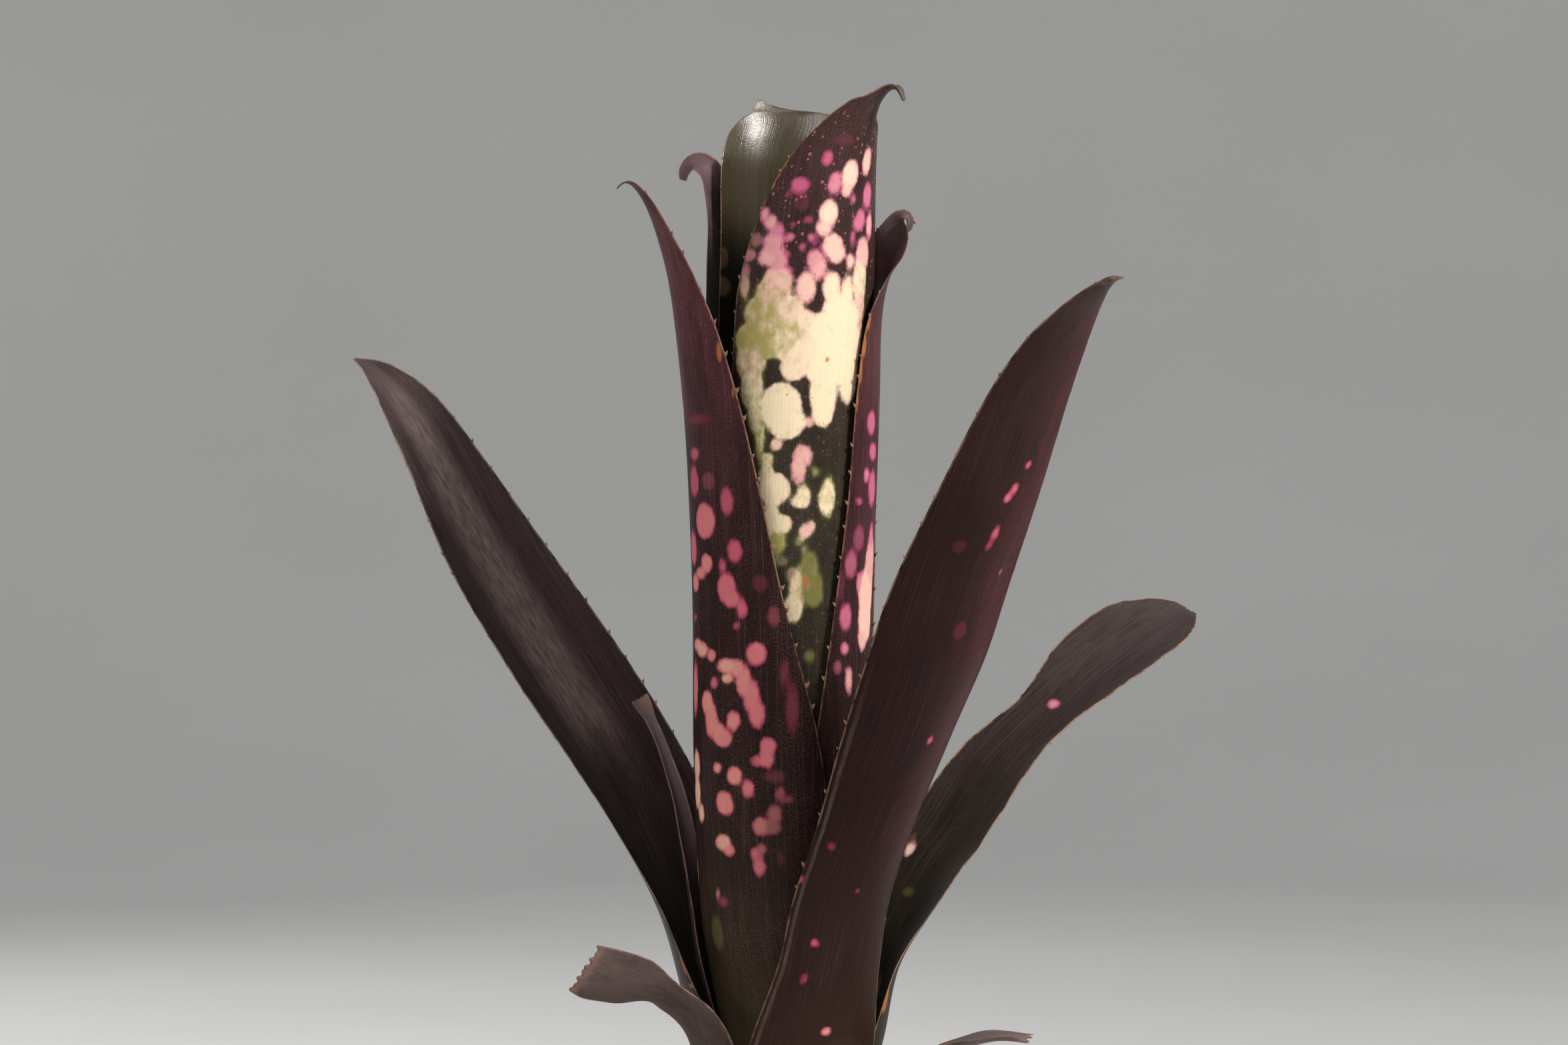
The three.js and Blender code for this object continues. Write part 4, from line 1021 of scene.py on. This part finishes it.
# The left front leaf of the tube. The outermost strap that still clasps it, mauve above and spotted with
# salmon below, with strong spines and a long point that curls away.
left_front_tube_leaf = make_leaf(
    "grown_left_front_tube_leaf", "mauve_leaf",
    leaf_rows(5, 205, [[50, 115], [75, 108], [100, 100], [150, 90], [200, 66, 0.8]], 1,
              [[240, 34, 205, 29.5, 50], [270, 36.5, 205, 24, 38], [295, 40, 205, 18, 30],
               [314, 44, 204, 12, 27], [328, 48.5, 203, 7.5, 26], [339, 53, 202, 4.6, 26],
               [346, 57.5, 201, 2.8, 26], [348, 61, 200, 1.8, 26], [346, 64, 200, 0.6, 20]]),
    spots=[
        (1025, 614, 3, 14, 0.45, 0.4), (1046, 628, 14, 8, 0.1, 0.3), (1042, 681, 6, 10, 0.45, 0.5),
        (1041, 722, 6, 24, 0.3, 0.6), (1062, 723, 10, 14, 0.45, 0.25), (1089, 751, 10, 21, 0.3, 0.6),
        (1056, 783, 14, 27, 0.5), (1040, 822, 4, 26, 0.4, 0.9), (1101, 826, 11, 18, 0.32, 0.8),
        (1060, 845, 8, 14, 0.6), (1051, 860, 7, 9, 0.6, 0.9), (1083, 850, 5, 10, 0.4, 0.6),
        (1043, 875, 4, 14, 0.6), (1089, 884, 14, 24, 0.42), (1096, 897, 12, 14, 0.45),
        (1114, 912, 8, 15, 0.4, 0.7), (1105, 941, 5, 6, 0.35, 0.5), (1043, 927, 2, 6, 0.3, 0.6),
        (1135, 980, 15, 18, 0.5), (1046, 966, 6, 9, 0.72), (1053, 977, 8, 11, 0.75),
        (1066, 985, 6, 9, 0.6, 0.9), (1090, 1000, 14, 11, 0.72), (1105, 1003, 11, 14, 0.65),
        (1117, 1022, 11, 24, 0.6), (1129, 1045, 12, 26, 0.52), (1137, 1070, 12, 22, 0.5),
        (1090, 1016, 8, 7, 0.75, 0.9, 0.2), (1070, 1025, 5, 9, 0.5, 0.6), (1060, 1055, 8, 18, 0.65),
        (1067, 1080, 9, 26, 0.6), (1085, 1108, 12, 14, 0.55, 1, 0.1), (1077, 1100, 10, 16, 0.6),
        (1100, 1082, 10, 15, 0.6, 0.9), (1043, 1035, 3, 40, 0.55, 0.9), (1150, 1120, 12, 14, 0.5),
        (1148, 1138, 12, 13, 0.5), (1135, 1143, 8, 8, 0.4, 0.6), (1045, 1150, 4, 24, 0.9),
        (1046, 1190, 4, 24, 0.95), (1052, 1220, 4, 14, 0.9), (1077, 1150, 6, 8, 0.7, 0.7),
        (1102, 1165, 11, 14, 0.65), (1123, 1185, 9, 14, 0.5), (1085, 1204, 12, 18, 0.6),
        (1092, 1210, 9, 14, 0.55), (1083, 1265, 11, 12, 0.75, 0.9, 0.1), (1092, 1276, 8, 9, 0.6, 0.8),
        (1160, 1222, 11, 14, 0.6, 0.4), (1143, 1240, 12, 14, 0.62, 0.5), (1158, 1242, 14, 12, 0.6, 0.35),
        (1172, 1190, 8, 12, 0.45, 0.4), (1185, 1200, 8, 6, 0.5, 0.3), (1142, 1275, 7, 8, 0.6, 0.4),
        (1131, 1282, 7, 9, 0.5, 0.6), (1141, 1300, 9, 16, 0.5, 0.6), (1171, 1290, 6, 12, 0.3, 0.2),
        (1046, 1305, 3, 18, 0.8, 0.5), (1078, 1342, 3, 8, 0.8, 0.4), (1085, 1353, 7, 8, 0.3, 0.35),
        # Painted shade: the last two spots on the next line and the three on the line after it are dimmed by
        # a low strength, where the right front leaf's shadow falls on the lower right of this leaf.
        (1075, 1400, 7, 22, 0.8, 0.12, 0.2), (1175, 1010, 8, 24, 0.3, 0.25), (1188, 1065, 10, 38, 0.3, 0.3),
        (1160, 925, 9, 16, 0.4, 0.3), (1140, 875, 12, 14, 0.3, 0.2), (1165, 1165, 16, 10, 0.4, 0.22),
    ],
    rust=[(1078, 527, 4, 16), (1100, 590, 2, 8)],
    wild=dict(count=90, stretch=(0.25, 0.72), sizes=(1.3, 3.8), pale=(0.3, 0.85), strength=(0.6, 1)),
    seed=6, spine=1.5, spine_gap=11, spacing=0.85, columns=80,
)
left_front_tube_leaf.data.materials.append(
    leaf_finish("salmon spotted leaf", mauve_ground, mauve_inside, (0.17, 0.12, 0.11), flecks=0.42,
                tip_from=0.965, fleck=(0.24, 0.13, 0.14), windows=SALMON_COLOURS, freckles=0.2))

# The back leaf. Older straps have left the tube and arch outward from the stem all round it, duller and
# greyer, with wax rubbed off in places and edges that have begun to dry. This one stands at the back.
back_leaf = make_leaf(
    "grown_back_leaf", "grey_leaf",
    leaf_rows(6, 76, [[50, 75], [85, 62, 0.4]], 0,
              [[120, 35.5, 76, 27, 42], [155, 43, 76, 23.5, 36], [190, 56, 77, 22, 34], [225, 74, 78, 19, 34],
               [250, 93, 79, 14, 30], [264, 109, 80, 8, 26], [269, 119, 80, 0.8, 20]]),
    wild=dict(count=40, stretch=(0.25, 0.85), sizes=(0.8, 2.4), pale=(0.1, 0.6), strength=(0.3, 0.9)),
    seed=7, spine_from=0.4, spine_gap=12,
)
grey_ground = [(0, (0.13, 0.12, 0.065)), (0.2, (0.03, 0.023, 0.014)), (0.5, (0.032, 0.017, 0.017)),
               (0.8, (0.044, 0.024, 0.025)), (1, (0.062, 0.041, 0.041))]
grey_inside = [(0, (0.12, 0.12, 0.065)), (0.25, (0.024, 0.018, 0.012)), (0.55, (0.032, 0.019, 0.018)),
               (0.85, (0.046, 0.029, 0.028)), (1, (0.066, 0.046, 0.045))]
grey_skin = leaf_finish("grey purple leaf", grey_ground, grey_inside, (0.25, 0.18, 0.14), roughness=0.46,
                        flecks=0.22, bloom=(-0.1, 0.5, 0.45, 1.0, 0.45), fleck=(0.17, 0.13, 0.13))
back_leaf.data.materials.append(grey_skin)

# The left back leaf. A large grey-purple strap that leans out to the left, with a long streak of wax along
# its upper middle and rust low down on its margin.
left_back_leaf = make_leaf(
    "grown_left_back_leaf", "grey_leaf",
    leaf_rows(8, 152, [[30, 84, 3.5], [50, 80, 7.3]], 0,
              [[72, 36.5, 152, 34, 58], [96, 42, 152, 29, 50, -8], [124, 54, 152, 26, 42, -18],
               [151, 70.5, 152, 25, 36, -24], [179, 91, 152, 24, 32, -28], [217, 119.5, 152, 21, 28, -30],
               [250, 141, 152, 16, 26, -30], [272, 155, 153, 12.5, 24, -28], [285, 166, 154, 7.5, 20, -24],
               [291, 175, 155, 1, 15, -20]]),
    rust=[(1046, 1436, 3, 20), (1066, 1465, 9, 4), (1088, 1500, 3, 20), (1103, 1538, 3, 18)],
    wild=dict(count=45, stretch=(0.15, 0.8), sizes=(0.8, 2.2), pale=(0.1, 0.5), strength=(0.2, 0.8)),
    seed=8, spine_from=0.3, spine=1.1, spine_gap=12, spacing=1.1, columns=52,
)
left_back_leaf.data.materials.append(
    leaf_finish("grey leaf with a waxy streak", grey_ground, grey_inside, (0.2, 0.15, 0.13),
                flecks=0.3, bloom=(0.05, 0.6, 0.42, 1.0, 0.75), veins=0.2, tip_from=0.985,
                rim=(0.42, 0.3, 0.25), fleck=(0.17, 0.13, 0.13)))

# The right back leaf. A low strap, olive at its foot where it clasps the stem, narrowed in the middle and
# rounded at its end like a spoon, with a dry orange edge.
right_back_leaf = make_leaf(
    "grown_right_back_leaf", "grey_leaf",
    leaf_rows(9, 36, [[30, 76, 4], [50, 68, 8]], 0,
              [[75, 41, 36, 29, 50], [92, 50, 35, 24, 44, 10], [109, 61.5, 34, 19.5, 36, 18],
               [121, 72, 33, 18, 34, 22], [144, 91, 33, 15.5, 32, 25], [162, 112, 32, 13, 28, 26],
               [179, 134, 32, 18.5, 24, 26], [191, 152, 31, 18.5, 20, 26], [197.5, 165, 31, 13, 16, 24],
               [200, 172, 31, 5, 12, 22]]),
    inner_spots=[(1366, 1274, 6, 11, 0.95), (1367, 1258, 5, 8, 0.7, 0.15), (1580, 1058, 8, 8, 0.4, 0.7),
                 (1362, 1338, 5, 5, 0.8, 0.08, 0.3)],
    rust=[(1316, 1490, 4, 28)],
    wild=dict(count=30, stretch=(0.15, 0.8), sizes=(0.8, 2.0), pale=(0.1, 0.6), strength=(0.2, 0.8)),
    seed=9, spine=0.5, spine_from=0.3, spine_gap=14, ripple=0.3, ragged=0.8, columns=52,
)
olive_grey_inside = [(0, (0.13, 0.13, 0.07)), (0.3, (0.026, 0.022, 0.012)), (0.5, (0.026, 0.018, 0.013)),
                     (0.75, (0.03, 0.02, 0.019)), (1, (0.046, 0.033, 0.033))]
right_back_leaf.data.materials.append(
    leaf_finish("grey spoon leaf", grey_ground, olive_grey_inside, (0.2, 0.16, 0.14), roughness=0.5,
                flecks=0.2, tip_from=0.99, rim=(0.55, 0.30, 0.17), veins=0.15,
                bloom=(0.5, 0.9, 0.7, 1.1, 0.12)))

# The right front leaf. A large dark maroon strap that leans right and towards the camera from the front of
# the stem, crimson along its right side, partly its own tint and partly painted light on that lit side, with
# a thin line of white scurf on its left margin.
right_front_leaf = make_leaf(
    "grown_right_front_leaf", "maroon_leaf",
    leaf_rows(10, 289, [[30, 46, 4.5], [50, 40, 8.5]], 0,
              [[78, 40, 297, 21.3, 40], [100, 43.8, 302, 21.5, 42], [125, 53, 307, 23, 42],
               [154, 66, 310, 26.5, 38], [182, 81, 310, 28.3, 34], [208, 92.5, 310, 27.5, 31],
               [241, 109.5, 310, 23.5, 28], [270, 124.5, 310, 19, 26], [288, 136, 310, 14.5, 24],
               [298.5, 145.5, 310, 9.6, 26], [303.5, 152, 310, 6.6, 40], [307.2, 157.5, 310, 4, 62],
               [309.2, 161.5, 310, 2.6, 70], [309.8, 165, 310, 1, 60]]),
    spots=[
        (1543, 695, 4, 6, 0.4, 0.7), (1521, 733, 5, 9, 0.4, 0.8), (1513, 746, 6, 8, 0.42, 0.8),
        (1493, 802, 5, 11, 0.35, 0.7), (1483, 816, 4, 8, 0.3, 0.5), (1395, 1110, 4, 6, 0.4, 0.7),
        (1223, 1415, 6, 6, 0.3, 0.9), (1238, 1549, 7, 6, 0.72), (1207, 1467, 5, 8, 0.05, 0.5),
        (1248, 1268, 6, 6, 0.1, 0.4), (1202, 1319, 3, 5, 0.4, 0.7), (1288, 1335, 3, 3, 0.1, 0.5),
        (1440, 945, 9, 14, 0, 0.25), (1440, 820, 10, 10, 0, 0.2), (1500, 858, 2, 4, 0.7, 0.4),
    ],
    seed=10, spine_from=0.28, spine=1.0, spine_gap=14, spacing=1.1, columns=60,
)
maroon_ground = [(0, (0.12, 0.10, 0.06)), (0.15, (0.028, 0.014, 0.01)), (0.4, (0.015, 0.0048, 0.0045)),
                 (0.7, (0.02, 0.0065, 0.0065)), (0.9, (0.034, 0.0155, 0.0155)), (1, (0.075, 0.05, 0.045))]
# The crimson towards its right edge is partly its own tint and partly painted light on its lit side.
right_front_leaf.data.materials.append(
    leaf_finish("dark maroon leaf", maroon_ground, grey_inside, (0.5, 0.4, 0.35), flecks=0.22,
                tip_from=0.974, flush_and_painted_light=(-0.1, 0.75, (0.07, 0.009, 0.014), 0.85),
                bloom=(-0.9, 0.045, 0.0, 0.56, 0.3), windows=SALMON_COLOURS, fleck=(0.1, 0.05, 0.05)))

# The old leaves. The lowest and oldest straps, drying from their ends: thin, curled, with torn brown ends.
# One stands withered inside the left leaf, and the others bend low over the rim of the pot. All share one dry
# finish.
withered_back_leaf = make_leaf(
    "grown_withered_back_leaf", "dry_leaf",
    leaf_rows(7, 166, [[45, 42]], 0,
              [[80, 30.5, 166, 11, 36], [110, 34.5, 166, 6.5, 55, -15], [135, 38.5, 166, 3.6, 60, -40],
               [152, 43.5, 166, 2.3, 60, -60], [162, 47.5, 167, 2.2, 50, -70], [167, 50.2, 167, 3.2, 40, -70],
               [170.4, 52, 168, 3.5, 30, -70]]),
    seed=11, spine=0, ragged=0.7, ripple=0.15, columns=28,
)
old_back_leaf = make_leaf(
    "grown_old_back_leaf", "dry_leaf",
    leaf_rows(11, 102, [[25, 70, 2]], 0,
              [[45, 36, 102, 24, 42], [66, 50, 102, 19, 36], [84, 69, 103, 17, 32], [96, 91, 104, 15, 28],
               [101, 112, 105, 11, 26], [100, 127, 106, 5, 20], [98, 133, 106, 0.8, 15]]),
    seed=12, spine=0.9, spine_from=0.3, ripple=0.4, ragged=0.5,
)
old_right_leaf = make_leaf(
    "grown_old_right_leaf", "dry_leaf",
    leaf_rows(12, 342, [[20, 62, 2]], 0,
              [[34, 37, 342, 20, 40], [44, 50, 342, 16, 34], [51, 64, 342, 14, 28], [54.5, 77, 342, 12, 22],
               [54, 88, 342, 8.5, 24]]),
    seed=13, spine=0.8, spine_from=0.3, ripple=0.45, ragged=2.6,
)
old_left_leaf = make_leaf(
    "grown_old_left_leaf", "dry_leaf",
    leaf_rows(13, 222, [[22, 40, 2.5]], 0,
              [[38, 33.8, 221, 14, 26], [51, 36, 221, 12.5, 34], [61, 43, 221, 10.5, 44, 12],
               [69.5, 54, 222, 7, 46, 36], [74.4, 66, 222, 10.4, 30, 52], [78.6, 80, 222, 10.6, 20, 58],
               [82.4, 90.4, 222, 9.2, 18, 62]]),
    seed=14, spine=0, ripple=0.4, ragged=1.8,
)
dry_ground = [(0, (0.14, 0.11, 0.07)), (0.3, (0.045, 0.028, 0.022)), (0.6, (0.06, 0.04, 0.036)),
              (1, (0.1, 0.07, 0.066))]
dry_inside = [(0, (0.12, 0.10, 0.065)), (0.35, (0.045, 0.03, 0.028)), (0.7, (0.1, 0.075, 0.077)),
              (1, (0.14, 0.106, 0.107))]
dry_skin = leaf_finish("old drying leaf", dry_ground, dry_inside, (0.30, 0.185, 0.16), roughness=0.55,
                       flecks=0.12, tip_from=0.95, rim=(0.34, 0.2, 0.16), veins=0.06, fleck=(0.2, 0.15, 0.15),
                       bloom=(0, 1.3, 0.3, 1.1, 0.25))
for leaf in (withered_back_leaf, old_back_leaf, old_right_leaf, old_left_leaf):
    leaf.data.materials.append(dry_skin)

# The studio. A pale painted floor sweeps up into a round wall. The main lamp stands above the camera's right,
# a weak one fills from the left, and one stands behind.


def sweep():
    """A dish: flat out to the sweep's radius, then a quarter circle up into a wall, turned about Z."""
    flat_radius = 2800
    bend = 2000
    wall_height = 4200
    segments = 96
    angle = np.linspace(0, np.pi / 2, 24)[:, None]
    flat = np.array([[1.0, 0], [600, 0], [1600, 0], [2500, 0]])
    curve = np.concatenate([flat_radius + bend * np.sin(angle), bend * (1 - np.cos(angle))], 1)
    profile = np.concatenate([flat, curve, [[flat_radius + bend, wall_height]]])
    quads = quads_on_grid(len(profile), segments, around=True)[:, ::-1]
    return rings_about_z(profile, segments).reshape(-1, 3), [quads, np.arange(segments)[None, :]]


def floor_finish():
    """Pale matt paint with a faint cloudiness."""
    paint = Finish("pale studio floor")
    clouds = paint.noise(paint.place, 1.4, 3, 0.5)
    colour = paint.ramp(clouds, [(0.35, (0.72, 0.715, 0.705)), (0.65, (0.76, 0.755, 0.745))])
    return paint.surface(colour, 0.9 + clouds * 0.05, clouds, 0.2, 0.1)


floor = new_piece("studio_floor", *sweep())
floor.data.materials.append(floor_finish())


def lamp(name, place, aim, size, power, colour=(1, 1, 1)):
    """A soft square lamp at a place, turned to face its aim, both in metres."""
    light = bpy.data.lights.new(name, "AREA")
    light.size = size
    light.energy = power
    light.color = colour
    piece = bpy.data.objects.new(name, light)
    piece.location = place
    piece.rotation_euler = (Vector(aim) - Vector(place)).to_track_quat("-Z", "Y").to_euler()
    piece.visible_camera = False
    bpy.context.scene.collection.objects.link(piece)


lamp("key", (1.16, -0.67, 1.41), (0.0, 0.0, 0.36), 0.35, 31, (1.0, 0.965, 0.92))
lamp("fill", (-0.86, -1.03, 1.56), (0.0, 0.0, 0.36), 0.5, 9, (1.0, 0.98, 0.95))
lamp("back", (-1.0, 1.5, 1.2), (0.0, 0.0, 0.3), 0.8, 10)
world = bpy.data.worlds.new("room")
world.use_nodes = True
background = world.node_tree.nodes["Background"].inputs
background["Color"].default_value = (0.95, 0.97, 1.0, 1)
background["Strength"].default_value = 0.42
bpy.context.scene.world = world
bpy.context.scene.view_settings.view_transform = "Standard"

camera = bpy.data.cameras.new("camera")
camera.sensor_width = 36
camera.lens = camera.sensor_width * CAMERA_DISTANCE * PIXELS_PER_MM / IMAGE_WIDTH
camera.clip_end = 30
eye = bpy.data.objects.new("camera", camera)
eye.location = (0, -CAMERA_DISTANCE * MM, CAMERA_HEIGHT * MM)
eye.rotation_euler = (np.pi / 2, 0, 0)
bpy.context.scene.collection.objects.link(eye)
bpy.context.scene.camera = eye
